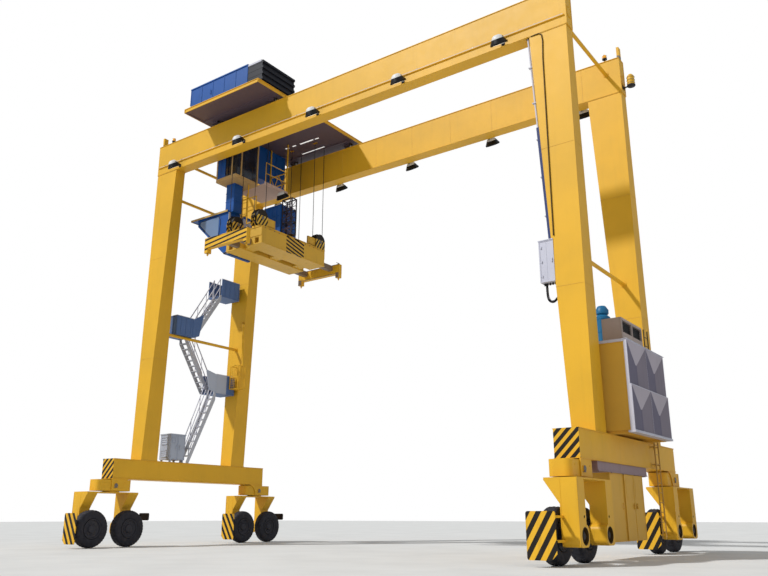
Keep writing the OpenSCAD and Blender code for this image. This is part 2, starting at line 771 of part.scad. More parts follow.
// Headblock: two long beams, cross beams, and a pair of cheeks round every rope sheave
module headblock() {
    color(yellow) placed() translate([spread_x, 0, frame_top]) {
        for (sx = [-1, 1]) translate([sx * sheave_dx, 0, 0]) {
            difference() {
                slab([-130, -sheave_dy - 140, 0], [130, sheave_dy + 140, block_h - 120]);
                for (sy = [-1, 1]) translate([0, sy * sheave_dy, sheave_z - frame_top])
                    cube([sheave_t + 14, 2 * sheave_r + 30, 2 * sheave_r + 14], center = true);
            }
            for (sy = [-1, 1]) for (s = [-1, 1]) translate([s * 75, sy * sheave_dy, 0])
                side_plate(-14, 14) difference() {
                    rounded(-240, block_h - 140, 240, sheave_z - frame_top + 150, 100);
                    translate([0, sheave_z - frame_top]) circle(r = 50 + fit);
                }
        }
        for (y = [-1350, 0, 1350]) slab([-sheave_dx + 130, y - 200, 0], [sheave_dx - 130, y + 200, block_h - 100]);
        for (s = [-1, 1]) translate([0, s * 1350, block_h - 100]) {
            slab([-sheave_dx - 130, -290, 0], [-sheave_dx - 70, 290, 340]);
            slab([sheave_dx + 70, -290, 0], [sheave_dx + 130, 290, 340]);
        }
    }
}

// Rope sheaves with a groove and a pin
module headblock_sheaves() {
    color(dark) placed() for (sx = [-1, 1]) for (sy = [-1, 1])
        translate([spread_x + sx * sheave_dx, sy * sheave_dy, sheave_z]) rotate([0, 90, 0]) {
            difference() {
                cylinder(r = sheave_r, h = sheave_t, center = true);
                rotate_extrude() translate([sheave_r, 0]) circle(r = rope_r + seat_gap, $fn = 16);
            }
            cylinder(r = 50, h = 190, center = true);
        }
}

basket_z = frame_top + block_h - 100;

guide_y1 = 70;           // far face of the lattice guide

// Blue cable tub on the headblock with an open lattice guide beside it
module cable_basket() {
    color(blue) placed() translate([spread_x, 0, basket_z]) {
        difference() {
            slab([-560, -300, 0], [440, 700, 1500]);
            slab([-530, -270, 30], [410, 670, 1500 + eps]);
        }
        slab([440, -250, 0], [1040, guide_y1, 20]);
        for (x = [440, 1000]) for (y = [-250, guide_y1 - 40]) slab([x, y, 20], [x + 40, y + 40, 1700]);
        for (z = [560, 1110, 1660]) {
            for (x = [440, 1000]) slab([x, -210, z], [x + 40, guide_y1 - 40, z + 40]);
            for (y = [-250, guide_y1 - 40]) slab([480, y, z], [1000, y + 40, z + 40]);
        }
    }
}

tube_w = 210;            // width of a telescopic beam
tube_h = 240;            // height of a telescopic beam
tube_play = 6;
near_tube_x = 340;       // place of the near end's beams from the middle
far_tube_x = 760;        // place of the far end's beams from the middle
frame_x = 1040;
tube_z0 = frame_bottom + 40;
tube_z1 = tube_z0 + tube_h;

// Fixed frame of the spreader: two deep side boxes with four guide tubes, and cross plates
module spreader_frame() {
    color(yellow) placed() translate([spread_x, 0, 0]) {
        difference() {
            for (sx = [-1, 1]) slab([sx > 0 ? 190 : -frame_x, -frame_half, frame_bottom],
                [sx > 0 ? frame_x : -190, frame_half, frame_top]);
            for (x = [-far_tube_x, -near_tube_x, near_tube_x, far_tube_x])
                slab([x - tube_w / 2 - tube_play, -frame_half - eps, tube_z0 - seat_gap],
                    [x + tube_w / 2 + tube_play, frame_half + eps, tube_z1 + tube_play]);
        }
        for (y = [-1500, 0, 1500]) slab([-190, y - 250, frame_bottom + 40], [190, y + 250, frame_top]);
    }
}

corner_w = 190;
corner_len = 5853 / 2;
corner_x = 2259 / 2;

// One telescopic end: two beams, the end beam and its twist lock boxes
module spreader_end(tube_x) {
    end_y = half_short;
    for (sx = [-1, 1]) {
        slab([sx * tube_x - tube_w / 2, frame_half - 250 - stroke, tube_z0],
            [sx * tube_x + tube_w / 2, end_y - 150, tube_z1]);
        translate([sx * corner_x, corner_len, 0]) {
            slab([-corner_w / 2, -110, seat_z], [corner_w / 2, end_y - corner_len, beam_bottom + 60]);
            translate([0, 0, seat_z - 60]) cylinder(r = 28, h = 60);
            translate([0, 0, seat_z - 110]) cylinder(r1 = 14, r2 = 42, h = 50);
        }
    }
    slab([-box_w / 2, end_y - 200, beam_bottom], [box_w / 2, end_y, beam_top]);
}

module far_spreader_end() {
    color(yellow) placed() translate([spread_x, 0, 0]) spreader_end(far_tube_x);
}

module near_spreader_end() {
    color(yellow) placed() translate([spread_x, 0, 0]) mirror([0, 1, 0]) spreader_end(near_tube_x);
}

// The eight falls of the hoist ropes from the deck to the sheaves' sides
module hoist_ropes() {
    color(dark) placed() for (sx = [-1, 1]) for (sy = [-1, 1]) for (s = [-1, 1])
        translate([spread_x + sx * sheave_dx, sy * sheave_dy + s * sheave_r, sheave_z])
            cylinder(r = rope_r, h = deck_bottom - seat_gap - sheave_z, $fn = 12);
}

saddle_half_w = sill_w / 2 - lug_t - 7.5;
saddle_half_l = 800;
saddle_top = sill_bottom - 37;

// Places a bogie piece at its corner, with its outer side away from the lane
module at_bogie(sx, sy) {
    placed() translate([sx * sill_x, sy * bogie_y, 0]) mirror([sx < 0 ? 1 : 0, 0, 0]) children();
}

// Rocking saddle between the sill's lugs, with its level pin and the king pin's bore
module saddle(sx, sy) {
    color(yellow) at_bogie(sx, sy) difference() {
        union() {
            translate([0, 0, saddle_bottom]) linear_extrude(saddle_top - saddle_bottom)
                rounded(-saddle_half_w, -saddle_half_l, saddle_half_w, saddle_half_l, 180);
            translate([0, 0, rock_pin_z]) rotate([0, 90, 0]) cylinder(r = rock_pin_r, h = sill_w + 2, center = true);
            for (s = [-1, 1]) translate([s * (sill_w / 2 + 11), 0, rock_pin_z]) rotate([0, 90, 0])
                cylinder(r = rock_pin_r + 25, h = 20, center = true);
        }
        translate([0, 0, saddle_bottom - eps]) cylinder(r = king_r + fit, h = 130);
    }
}

// Outline of an arm seen along the sill: outer face, gusset to the inner edge, foot
module arm_outline() {
    polygon([[bogie_in, bogie_top - bogie_plate_t], [bogie_out, bogie_top - bogie_plate_t], [bogie_out, arm_foot],
        [arm_in, arm_foot], [arm_in, 1450], [bogie_in, bogie_top - bogie_plate_t - 20]]);
}

module arm() {
    difference() {
        intersection() {
            cross_plate(-arm_reach, arm_reach) arm_outline();
            side_plate(bogie_in - eps, bogie_out + eps) union() {
                rounded(-hub_opening_r - 35, arm_foot, arm_reach, arm_foot + 520, 150);
                translate([arm_reach - arm_w, arm_foot + 260]) square([arm_w, bogie_top]);
            }
        }
        translate([bogie_out - 300, 0, tyre_r]) rotate([0, 90, 0]) cylinder(r = hub_opening_r, h = 300 + eps);
        translate([arm_in - eps, 0, tyre_r]) rotate([0, 90, 0]) cylinder(r = axle_r + fit, h = arm_t);
        translate([bogie_out - 60, 0, 1150]) rotate([0, 90, 0]) cylinder(r = 38, h = 60 + eps);
    }
}

// Bogie frame: top plate, king pin, two arms with the hub openings, and the striped guards
module bogie(sx, sy) {
    color(yellow) at_bogie(sx, sy) {
        slab([bogie_in, -plate_half, bogie_top - bogie_plate_t], [bogie_out, plate_half, bogie_top]);
        translate([0, 0, bogie_top]) cylinder(r = 290, h = saddle_bottom - bogie_top - 5);
        translate([0, 0, bogie_top]) cylinder(r = king_r, h = saddle_bottom - bogie_top + 110);
        for (s = [0, 1]) mirror([0, s, 0]) translate([0, wheel_base / 2, 0]) arm();
        guard_plate(guard_foot, guard_w, guard_h);
        mirror([0, 1, 0]) guard_plate(1000, guard_w - 160, 290);
        for (z = [1020, 1180]) slab([arm_in + 20, plate_half, z], [arm_in + 80, guard_y - guard_t, z + 50]);
        for (z = [560, 1120]) slab([arm_in + 20, -guard_y + guard_t, z], [arm_in + 80, -plate_half, z + 60]);
    }
}

// A guard plate before the tyre, with rounded top corners and one corner cut off below
module guard_plate(z0, w, h) {
    x1 = arm_in + 90;
    cross_plate(-guard_y, -guard_y + guard_t) difference() {
        rounded(x1 - w, z0, x1, z0 + h, 60);
        polygon([[x1 - 150, z0 - eps], [x1 + eps, z0 - eps], [x1 + eps, z0 + 150]]);
    }
}

// Tyre on its rim with a dished disc, a hub and the axle stub that runs in the arm
module wheel(sx, sy, s) {
    color(black) at_bogie(sx, sy) translate([wheel_x, s * wheel_base / 2, tyre_r]) rotate([0, 90, 0]) {
        rotate_extrude() translate([0, -tyre_w / 2]) difference() {
            union() {
                translate([0, 40]) square([rim_r + 20, tyre_w - 80]);
                translate([rim_r, 0]) rounded_bar();
            }
            translate([60, -eps]) square([rim_r - 90, 90]);
        }
        cylinder(r = 150, h = arm_in - wheel_x - 5);
        cylinder(r = axle_r, h = bogie_out - 220 - wheel_x);
        translate([0, 0, bogie_out - 295 - wheel_x]) cylinder(r = 150, h = 40);
    }
}

// Half section of the tyre with round shoulders
module rounded_bar() {
    rounded(0, 0, tyre_r - rim_r, tyre_w, 60);
}

girder(-1);  // near_girder
girder(1);  // far_girder
trolley_rails();
leg(-1, -1);  // near_left_leg
leg(1, -1);  // near_right_leg
leg(-1, 1);  // far_left_leg
leg(1, 1);  // far_right_leg
sill(-1);  // left_sill
sill(1);  // right_sill
tie_pipes();
floodlights();
beacons();
leg_junction_box();
generator_house();
cooling_hoods();
vent_box();
exhaust_drum();
sill_tray();
drive_cabinet();
near_cabinet_door();
far_cabinet_door();
boarding_ladder();
left_cabinet();
stair_flights();
stair_landings();
leg_basket();
trolley_deck();
machinery_housing();
radiator_box();
hoist_drum();
trolley_wheels();
electrical_cabin();
switchgear_box();
trolley_walkway();
operator_cab();
cab_glass();
headblock();
headblock_sheaves();
cable_basket();
spreader_frame();
hoist_ropes();
near_spreader_end();
far_spreader_end();
saddle(-1, -1);  // near_left_saddle
saddle(1, -1);  // near_right_saddle
saddle(-1, 1);  // far_left_saddle
saddle(1, 1);  // far_right_saddle
bogie(-1, -1);  // near_left_bogie
bogie(1, -1);  // near_right_bogie
bogie(-1, 1);  // far_left_bogie
bogie(1, 1);  // far_right_bogie
wheel(-1, -1, -1);  // near_left_wheel_a
wheel(-1, -1, 1);  // near_left_wheel_b
wheel(1, -1, -1);  // near_right_wheel_a
wheel(1, -1, 1);  // near_right_wheel_b
wheel(-1, 1, -1);  // far_left_wheel_a
wheel(-1, 1, 1);  // far_left_wheel_b
wheel(1, 1, -1);  // far_right_wheel_a
wheel(1, 1, 1);  // far_right_wheel_b
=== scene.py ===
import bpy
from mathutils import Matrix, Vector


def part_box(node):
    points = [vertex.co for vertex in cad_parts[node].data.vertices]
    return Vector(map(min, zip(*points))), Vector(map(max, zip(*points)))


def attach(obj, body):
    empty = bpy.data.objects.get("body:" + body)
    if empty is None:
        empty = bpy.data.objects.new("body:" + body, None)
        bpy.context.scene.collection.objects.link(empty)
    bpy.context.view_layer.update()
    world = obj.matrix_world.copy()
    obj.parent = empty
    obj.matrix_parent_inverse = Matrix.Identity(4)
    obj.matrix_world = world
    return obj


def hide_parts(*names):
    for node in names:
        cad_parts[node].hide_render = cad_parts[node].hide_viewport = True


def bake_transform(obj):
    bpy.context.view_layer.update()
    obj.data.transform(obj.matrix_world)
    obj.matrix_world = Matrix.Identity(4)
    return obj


bl_info = {
    "name": "Rubber Tyred Gantry Crane Dressing",
    "version": (1, 0, 0),
    "blender": (4, 5, 0),
    "location": "View3D > Sidebar > Yard Crane",
    "description": "Paints and details a rubber tyred gantry crane around its fixed frame",
    "category": "Object",
}

import math

import bmesh
import bpy
import numpy as np
from bpy.props import FloatProperty, FloatVectorProperty, IntProperty, PointerProperty
from bpy.types import Operator, Panel, PropertyGroup

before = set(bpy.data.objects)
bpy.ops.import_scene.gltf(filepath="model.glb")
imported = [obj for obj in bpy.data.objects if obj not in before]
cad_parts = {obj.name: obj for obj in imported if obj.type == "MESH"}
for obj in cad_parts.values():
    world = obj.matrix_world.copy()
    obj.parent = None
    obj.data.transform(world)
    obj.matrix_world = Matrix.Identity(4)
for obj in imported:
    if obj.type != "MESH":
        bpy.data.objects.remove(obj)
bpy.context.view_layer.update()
SIDES = ("near_left", "near_right", "far_left", "far_right")


def low_high(node):
    """Lowest and highest corner of a frame node as arrays."""
    lo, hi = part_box(node)
    return np.array(lo), np.array(hi)


GIRDER = low_high("near_girder")
FAR_GIRDER = low_high("far_girder")
MID = (GIRDER[0][0] + GIRDER[1][0]) / 2
SILL = low_high("right_sill")
SILL_X = (SILL[0][0] + SILL[1][0]) / 2 - MID
DECK = low_high("trolley_deck")
SPREAD = low_high("spreader_frame")
SPREAD_X = (SPREAD[0][0] + SPREAD[1][0]) / 2
LEG = low_high("near_right_leg")
G_IN = FAR_GIRDER[0][1]
G_OUT = FAR_GIRDER[1][1] - 0.045
G_LOW, G_TOP = GIRDER[0][2], GIRDER[1][2]
G_HALF = (GIRDER[1][0] - GIRDER[0][0]) / 2
NEAR_FAR = (("near", -1), ("far", 1))
AXLE_Z, AXLE_Y = 0.698, 0.84  # height of the wheel axles, and their distance from a bogie's pivot
PIVOT_Y = 3.99
SHEAVE_X, SHEAVE_Y = 0.72, 1.86  # the four rope sheaves, from the spreader's middle


def signs(side):
    """Which way a corner lies from the middle, along X and along Y."""
    return (1 if "right" in side else -1), (1 if "far" in side else -1)


# ---------- shapes: pairs of corner array and face list ----------


def merge(shapes):
    """Several shapes as one: corners stacked, face numbers moved up by the corners before them."""
    corners, faces, start = [], [], 0
    for co, fs in shapes:
        corners.append(co)
        faces += [[i + start for i in f] for f in fs]
        start += len(co)
    return np.concatenate(corners), faces


def grid(points, round_u=False, round_v=False, caps=False):
    """A surface from a grid of points (rows, columns, xyz): every cell of four neighbours is one face."""
    rows, cols = points.shape[:2]
    i = np.arange(rows if round_u else rows - 1)[:, None]
    j = np.arange(cols if round_v else cols - 1)[None, :]
    i2, j2 = (i + 1) % rows, (j + 1) % cols
    faces = np.stack([i * cols + j, i2 * cols + j, i2 * cols + j2, i * cols + j2], -1).reshape(-1, 4).tolist()
    if caps:
        faces += [list(range(cols))[::-1], list(range((rows - 1) * cols, rows * cols))]
    return points.reshape(-1, 3), faces


def blocks(spans):
    """Rectangular blocks from rows of lowest and highest corners: each corner takes one of the two values per axis."""
    s = np.asarray(spans, float).reshape(-1, 2, 3)
    pick = np.array([[0, 0, 0], [1, 0, 0], [1, 1, 0], [0, 1, 0], [0, 0, 1], [1, 0, 1], [1, 1, 1], [0, 1, 1]])
    co = s[:, pick, np.arange(3)]
    six = np.array([[0, 3, 2, 1], [4, 5, 6, 7], [0, 1, 5, 4], [1, 2, 6, 5], [2, 3, 7, 6], [3, 0, 4, 7]])
    faces = (six[None] + 8 * np.arange(len(s))[:, None, None]).reshape(-1, 4)
    return co.reshape(-1, 3), faces.tolist()


def sweep(path, radius, sides=10, ring=False):
    """A round pipe: circle of the given radius set square to the path's tangent at every point."""
    p = np.asarray(path, float)
    t = np.roll(p, -1, 0) - np.roll(p, 1, 0) if ring else np.gradient(p, axis=0)
    t = t / np.linalg.norm(t, axis=1)[:, None]
    ref = np.where(np.abs(t @ np.array([0, 0, 1.0])).max() > 0.9, 1.0, 0.0) * np.array([0.31, 0.95, 0.05])
    ref = ref if ref.any() else np.array([0.02, 0.03, 1.0])
    side = np.cross(t, ref)
    side /= np.linalg.norm(side, axis=1)[:, None]
    up = np.cross(side, t)
    a = np.linspace(0, 2 * np.pi, sides, endpoint=False)
    r = np.broadcast_to(np.asarray(radius, float), (len(p),))[:, None, None]
    ringed = p[:, None] + r * (np.cos(a)[None, :, None] * side[:, None] + np.sin(a)[None, :, None] * up[:, None])
    return grid(ringed, round_u=ring, round_v=True, caps=not ring)


def bend(points, steps=6):
    """A smooth path through points: a Catmull-Rom curve, whose tangent at a point joins its two neighbours."""
    p = np.asarray(points, float)
    q = np.vstack([2 * p[0] - p[1], p, 2 * p[-1] - p[-2]])
    t = np.linspace(0, 1, steps, endpoint=False)[None, :, None]
    a, b, c, d = q[:-3, None], q[1:-2, None], q[2:-1, None], q[3:, None]
    curve = 0.5 * (2 * b + (c - a) * t + (2 * a - 5 * b + 4 * c - d) * t**2 + (3 * b - a - 3 * c + d) * t**3)
    return np.vstack([curve.reshape(-1, 3), p[-1:]])


def lathe(profile, centre, axis=0, turns=32, flip=1):
    """A turned shape: rows of (distance along the axis, radius) carried round the axis through centre."""
    prof = np.asarray(profile, float)
    a = np.linspace(0, 2 * np.pi, turns, endpoint=False)
    out = np.zeros((len(prof), turns, 3))
    o1, o2 = [(1, 2), (2, 0), (0, 1)][axis]
    out[..., axis] = prof[:, 0, None] * flip
    out[..., o1] = prof[:, 1, None] * np.cos(a)
    out[..., o2] = prof[:, 1, None] * np.sin(a)
    return grid(out + np.asarray(centre, float), round_v=True, caps=True)


def plate(outline, axis, a, b):
    """A flat outline made thick between two planes square to the axis."""
    o = np.asarray(outline, float)
    pts = np.zeros((2, len(o), 3))
    o1, o2 = [(1, 2), (0, 2), (0, 1)][axis]
    pts[..., o1], pts[..., o2] = o[:, 0], o[:, 1]
    pts[0, :, axis], pts[1, :, axis] = a, b
    return grid(pts, round_v=True, caps=True)


def facet(corners, thick):
    """A flat sheet: its corners and the same corners moved by the thickness along the normal of the first three."""
    c = np.asarray(corners, float)
    normal = np.cross(c[1] - c[0], c[2] - c[0])
    normal /= np.linalg.norm(normal)
    n = len(c)
    ring = [[k, (k + 1) % n, (k + 1) % n + n, k + n] for k in range(n)]
    return np.vstack([c, c + normal * thick]), [list(range(n))[::-1], list(range(n, 2 * n))] + ring


def copies(shape, offsets):
    """The same shape at every offset: corner array plus offset, faces numbered on."""
    co, faces = shape
    off = np.asarray(offsets, float).reshape(-1, 3)
    base = [np.asarray(f) for f in faces]
    out = [(f + k * len(co)).tolist() for k in range(len(off)) for f in base]
    return (co[None] + off[:, None]).reshape(-1, 3), out


def bolts(centres, axis, radius=0.018, height=0.014, flip=1):
    """Hexagon bolt heads: six-sided turned shapes on every centre."""
    head = lathe([(0, radius), (height * 0.8, radius), (height, radius * 0.85)], (0, 0, 0), axis, 6, flip)
    return copies(head, centres)


def circle_of(centre, axis, radius, count):
    """Points evenly round a circle square to the axis."""
    a = np.linspace(0, 2 * np.pi, count, endpoint=False)
    out = np.tile(np.asarray(centre, float), (count, 1))
    o1, o2 = [(1, 2), (2, 0), (0, 1)][axis]
    out[:, o1] += radius * np.cos(a)
    out[:, o2] += radius * np.sin(a)
    return out


def turned(shape, axis, degrees, about):
    """The shape turned about a line along the axis through a point."""
    co, faces = shape
    a = math.radians(degrees)
    o1, o2 = [(1, 2), (2, 0), (0, 1)][axis]
    d = co - np.asarray(about, float)
    out = d.copy()
    out[:, o1] = d[:, o1] * math.cos(a) - d[:, o2] * math.sin(a)
    out[:, o2] = d[:, o1] * math.sin(a) + d[:, o2] * math.cos(a)
    return out + np.asarray(about, float), faces


def on_face(axis, at, sign, rows):
    """Blocks on an upright face: rows of (left, right, low, high, from, to), the last two measured outwards."""
    r = np.asarray(rows, float).reshape(-1, 6)
    spans = np.zeros((len(r), 2, 3))
    spans[:, :, 1 - axis], spans[:, :, 2] = r[:, 0:2], r[:, 2:4]
    spans[:, :, axis] = at + sign * (r[:, 4:6] if sign > 0 else r[:, 5:3:-1])
    return blocks(spans)


def border(u0, u1, z0, z1, wide, thick, start=0.0):
    """Rows for on_face: four bars round a rectangle."""
    t = (start, start + thick)
    return [(u0, u1, z0, z0 + wide, *t), (u0, u1, z1 - wide, z1, *t), (u0, u0 + wide, z0 + wide, z1 - wide, *t),
            (u1 - wide, u1, z0 + wide, z1 - wide, *t)]


def framed(lo, hi, faces, wide, thick):
    """Borders round upright faces of a box, each named by its side: +x is the face at the highest X."""
    out = []
    for face in faces.split():
        axis, sign = "xy".index(face[1]), 1 if face[0] == "+" else -1
        row = border(lo[1 - axis], hi[1 - axis], lo[2], hi[2], wide, thick)
        out.append(on_face(axis, (hi if sign > 0 else lo)[axis], sign, row))
    return merge(out)


def bars(along, half, low, high, thick, start=0.0):
    """Rows for on_face: an upright bar at every place along the face."""
    return [(u - half, u + half, low, high, start, thick) for u in along]


def louvres(axis, at, sign, u0, u1, z0, z1, pitch=0.07, depth=0.02):
    """Slanted slats inside a border: one wedge profile repeated upwards."""
    n = max(2, int((z1 - z0 - 0.06) / pitch))
    step = (z1 - z0 - 0.06) / n
    slat = plate([(at, 0.0), (at + sign * depth, 0.0), (at + sign * depth, step * 0.22), (at, step * 0.8)], 1 - axis,
                 u0 + 0.02, u1 - 0.02)
    rise = np.zeros((n, 3))
    rise[:, 2] = z0 + 0.03 + step * np.arange(n)
    return merge([copies(slat, rise), on_face(axis, at, sign, border(u0, u1, z0, z1, 0.025, depth + 0.004))])


def handle(axis, at, sign, u, z, tall=0.16):
    """A door handle: two feet and an upright bar."""
    return on_face(axis, at, sign, [(u - 0.012, u + 0.012, z - tall / 2, z - tall / 2 + 0.02, 0, 0.03),
                                    (u - 0.012, u + 0.012, z + tall / 2 - 0.02, z + tall / 2, 0, 0.03),
                                    (u - 0.014, u + 0.014, z - tall / 2, z + tall / 2, 0.03, 0.045)])


def door(axis, at, sign, u0, u1, z0, z1, hinge_low=True):
    """A flush door: raised border, three hinges on one edge and a handle on the other."""
    edge, grip = (u0 + 0.02, u1 - 0.09) if hinge_low else (u1 - 0.02, u0 + 0.09)
    hinges = [(edge - 0.015, edge + 0.015, z0 + f * (z1 - z0) - 0.05, z0 + f * (z1 - z0) + 0.05, 0.0, 0.026)
              for f in (0.12, 0.5, 0.88)]
    return merge([on_face(axis, at, sign, border(u0, u1, z0, z1, 0.022, 0.012) + hinges),
                  handle(axis, at, sign, grip, (z0 + z1) / 2)])


def leg_side(z):
    """Lane-side X and the outer Y of a right near leg at a height, by straight taper (from the middle of the span)."""
    t = (z - LEG[0][2]) / (LEG[1][2] - LEG[0][2])
    foot = SILL[0][0] - MID
    return foot + t * (LEG[0][0] - MID - foot), -LEG[0][1] + t * (G_OUT + LEG[0][1])


def leg_gap(z):
    """Half the gap between a near and a far leg at a height, by straight taper."""
    t = (z - LEG[0][2]) / (LEG[1][2] - LEG[0][2])
    return -LEG[1][1] + t * (G_IN + LEG[1][1])


def along_x(x, y, z):
    """Places in a row along X at one Y and one height."""
    return np.stack([x, np.full_like(x, y), np.full_like(x, z)], 1)


def piece(name, shape, finish, body, bevel=0.0, smooth=0, stands_for=()):
    """Puts a shape into an object with outward faces, finish, soft edges and body; given two bodies and a stretch
    instead, it only bakes the object's transform.
    """
    co, faces = shape
    mesh = bpy.data.meshes.new(name)
    mesh.from_pydata(co.tolist(), [], faces)
    bm = bmesh.new()
    bm.from_mesh(mesh)
    bmesh.ops.recalc_face_normals(bm, faces=bm.faces)
    bm.to_mesh(mesh)
    bm.free()
    obj = bpy.data.objects.new(name, mesh)
    bpy.context.scene.collection.objects.link(obj)
    mesh.materials.append(finish_of(finish))
    if smooth:
        mesh.polygons.foreach_set("use_smooth", np.ones(len(mesh.polygons), bool))
        mesh.set_sharp_from_angle(angle=math.radians(smooth))
    if bevel:
        mod = obj.modifiers.new("soft edges", "BEVEL")
        mod.width, mod.segments, mod.limit_method = bevel, 2, "ANGLE"
        mod.angle_limit = math.radians(40)
    if isinstance(body, tuple):
        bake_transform(obj)
    else:
        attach(obj, body)
    if stands_for:
        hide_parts(*stands_for)
    return obj


# ---------- finishes ----------


def linear(rgb):
    """Screen colour to light colour, by the sRGB curve."""
    c = np.asarray(rgb, float)
    return tuple(np.where(c <= 0.04045, c / 12.92, ((c + 0.055) / 1.055) ** 2.4)) + (1.0,)


class Recipe:
    """Builds one material's node tree in the order of its calls."""

    def __init__(self, name):
        self.mat = bpy.data.materials.new(name)
        self.mat.use_nodes = True
        self.tree = self.mat.node_tree
        self.shader = next(n for n in self.tree.nodes if n.type == "BSDF_PRINCIPLED")
        self.coords = self.tree.nodes.new("ShaderNodeTexCoord").outputs["Object"]
        self.xyz = None

    def put(self, socket, value):
        if isinstance(value, bpy.types.NodeSocket):
            self.tree.links.new(value, socket)
        else:
            socket.default_value = value

    def add(self, kind, settings=(), **inputs):
        node = self.tree.nodes.new(kind)
        for key, value in dict(settings).items():
            setattr(node, key, value)
        for key, value in inputs.items():
            name = key.replace("_", " ")
            self.put(node.inputs[int(key[1:])] if key[0] == "i" and key[1:].isdigit() else node.inputs[name], value)
        return node

    def math(self, op, a, b=0.0, clamp=False):
        return self.add("ShaderNodeMath", {"operation": op, "use_clamp": clamp}, i0=a, i1=b).outputs[0]

    def axis(self, k):
        if self.xyz is None:
            self.xyz = self.add("ShaderNodeSeparateXYZ", Vector=self.coords)
        return self.xyz.outputs[k]

    def noise(self, scale, detail=3.0, stretch=(1, 1, 1), rough=0.55):
        where = self.add("ShaderNodeMapping", Vector=self.coords, Scale=stretch).outputs[0]
        return self.add("ShaderNodeTexNoise", Vector=where, Scale=scale, Detail=detail,
                        Roughness=rough).outputs["Fac"]

    def ramp(self, value, low, high, out_low=0.0, out_high=1.0):
        node = self.add("ShaderNodeMapRange", {"interpolation_type": "SMOOTHSTEP"}, Value=value, From_Min=low,
                        From_Max=high,
                        To_Min=out_low, To_Max=out_high)
        return node.outputs[0]

    def blend(self, factor, a, b, mode="MIX"):
        node = self.add("ShaderNodeMix", {"data_type": "RGBA", "blend_type": mode})
        self.put(node.inputs["Factor"], factor)
        self.put(node.inputs[6], a)
        self.put(node.inputs[7], b)
        return node.outputs[2]

    def inside(self, limits):
        """One where every coordinate lies between its limits: a product of greater-than and less-than steps."""
        out = None
        for k, low, high in limits:
            for op, edge in (("GREATER_THAN", low), ("LESS_THAN", high)):
                if edge is None:
                    continue
                step = self.math(op, self.axis(k), edge)
                out = step if out is None else self.math("MULTIPLY", out, step)
        return out

    def stripes(self, direction, width, share=0.5):
        """Slanted bars: the fraction of a dot product with the direction, cut so that the share is painted."""
        total = None
        for k, weight in enumerate(direction):
            if weight:
                part = self.math("MULTIPLY", self.axis(k), weight / width)
                total = part if total is None else self.math("ADD", total, part)
        return self.math("GREATER_THAN", self.math("FRACT", self.math("ADD", total, 100.0)), 1.0 - share)

    def bump(self, height, strength, distance):
        node = self.add("ShaderNodeBump", Height=height, Strength=strength, Distance=distance)
        self.put(self.shader.inputs["Normal"], node.outputs[0])


YELLOW, BLACK = (0.90, 0.69, 0.165), (0.10, 0.085, 0.075)
BLUE, GREY = (0.08, 0.32, 0.62), (0.60, 0.59, 0.63)
BLUE_DIRT, GREY_DIRT, PALE_DIRT = (0.12, 0.16, 0.28), (0.42, 0.42, 0.45), (0.42, 0.41, 0.44)


def painted(name, colour, rough=0.42, grime=0.25, grime_colour=(0.30, 0.24, 0.16), marks=()):
    """Sprayed paint: cloudy fading, fine rain streaks down the sides, dust, orange-peel bump and painted marks, some
    of which are painted shade.
    """
    r = Recipe(name)
    faded = np.clip(np.asarray(colour) * 0.93 + 0.012, 0, 1)
    base = r.blend(r.ramp(r.noise(0.45, 4.0), 0.3, 0.75), linear(colour), linear(faded))
    for limits, direction, width, share, dark in marks:
        mask = r.inside(limits)
        if direction:
            mask = r.math("MULTIPLY", mask, r.stripes(direction, width, share))
        base = r.blend(mask, base, linear(dark))
    streak = r.ramp(r.noise(1.6, 5.0, (4.0, 4.0, 0.16)), 0.52, 0.8, 0.0, grime)
    base = r.blend(streak, base, linear(grime_colour))
    speck = r.ramp(r.noise(14.0, 4.0), 0.6, 0.8, 0.0, grime * 0.5)
    base = r.blend(speck, base, linear(np.asarray(grime_colour) * 1.3))
    r.put(r.shader.inputs["Base Color"], base)
    r.put(r.shader.inputs["Roughness"], r.ramp(r.noise(3.0, 4.0), 0.2, 0.8, rough, rough + 0.06))
    r.shader.inputs["Specular IOR Level"].default_value = 0.28
    r.bump(r.noise(45.0, 3.0), 0.12, 0.004)
    return r.mat


def rubber():
    """Tyre rubber: near black, dusty where the noise is high, with a fine grain."""
    r = Recipe("tyre rubber")
    dust = r.ramp(r.noise(3.5, 5.0), 0.45, 0.8, 0.0, 0.5)
    r.put(r.shader.inputs["Base Color"], r.blend(dust, linear((0.13, 0.13, 0.165)), linear((0.22, 0.21, 0.24))))
    r.put(r.shader.inputs["Roughness"], r.ramp(r.noise(9.0), 0.3, 0.7, 0.7, 0.9))
    r.bump(r.noise(60.0, 4.0), 0.3, 0.003)
    return r.mat


def steel():
    """Bare rail steel: long drawn grain in the noise, metallic."""
    r = Recipe("rail steel")
    colour, rough = (0.56, 0.54, 0.52), 0.38
    grain = r.noise(12.0, 4.0, (0.3, 6.0, 6.0))
    r.put(r.shader.inputs["Base Color"], r.blend(grain, linear(colour), linear(np.asarray(colour) * 0.75)))
    r.put(r.shader.inputs["Roughness"], r.ramp(grain, 0.2, 0.8, rough - 0.08, rough + 0.1))
    r.shader.inputs["Metallic"].default_value = 0.85
    r.bump(grain, 0.1, 0.002)
    return r.mat


def window_glass():
    """Dark tinted glass with a smudged gloss."""
    r = Recipe("window glass")
    r.put(r.shader.inputs["Base Color"], r.blend(r.ramp(r.noise(1.3), 0.35, 0.7), linear((0.07, 0.09, 0.13)),
                                                 linear((0.13, 0.17, 0.24))))
    r.put(r.shader.inputs["Roughness"], r.ramp(r.noise(6.0), 0.3, 0.8, 0.04, 0.16))
    r.shader.inputs["Specular IOR Level"].default_value = 0.6
    return r.mat


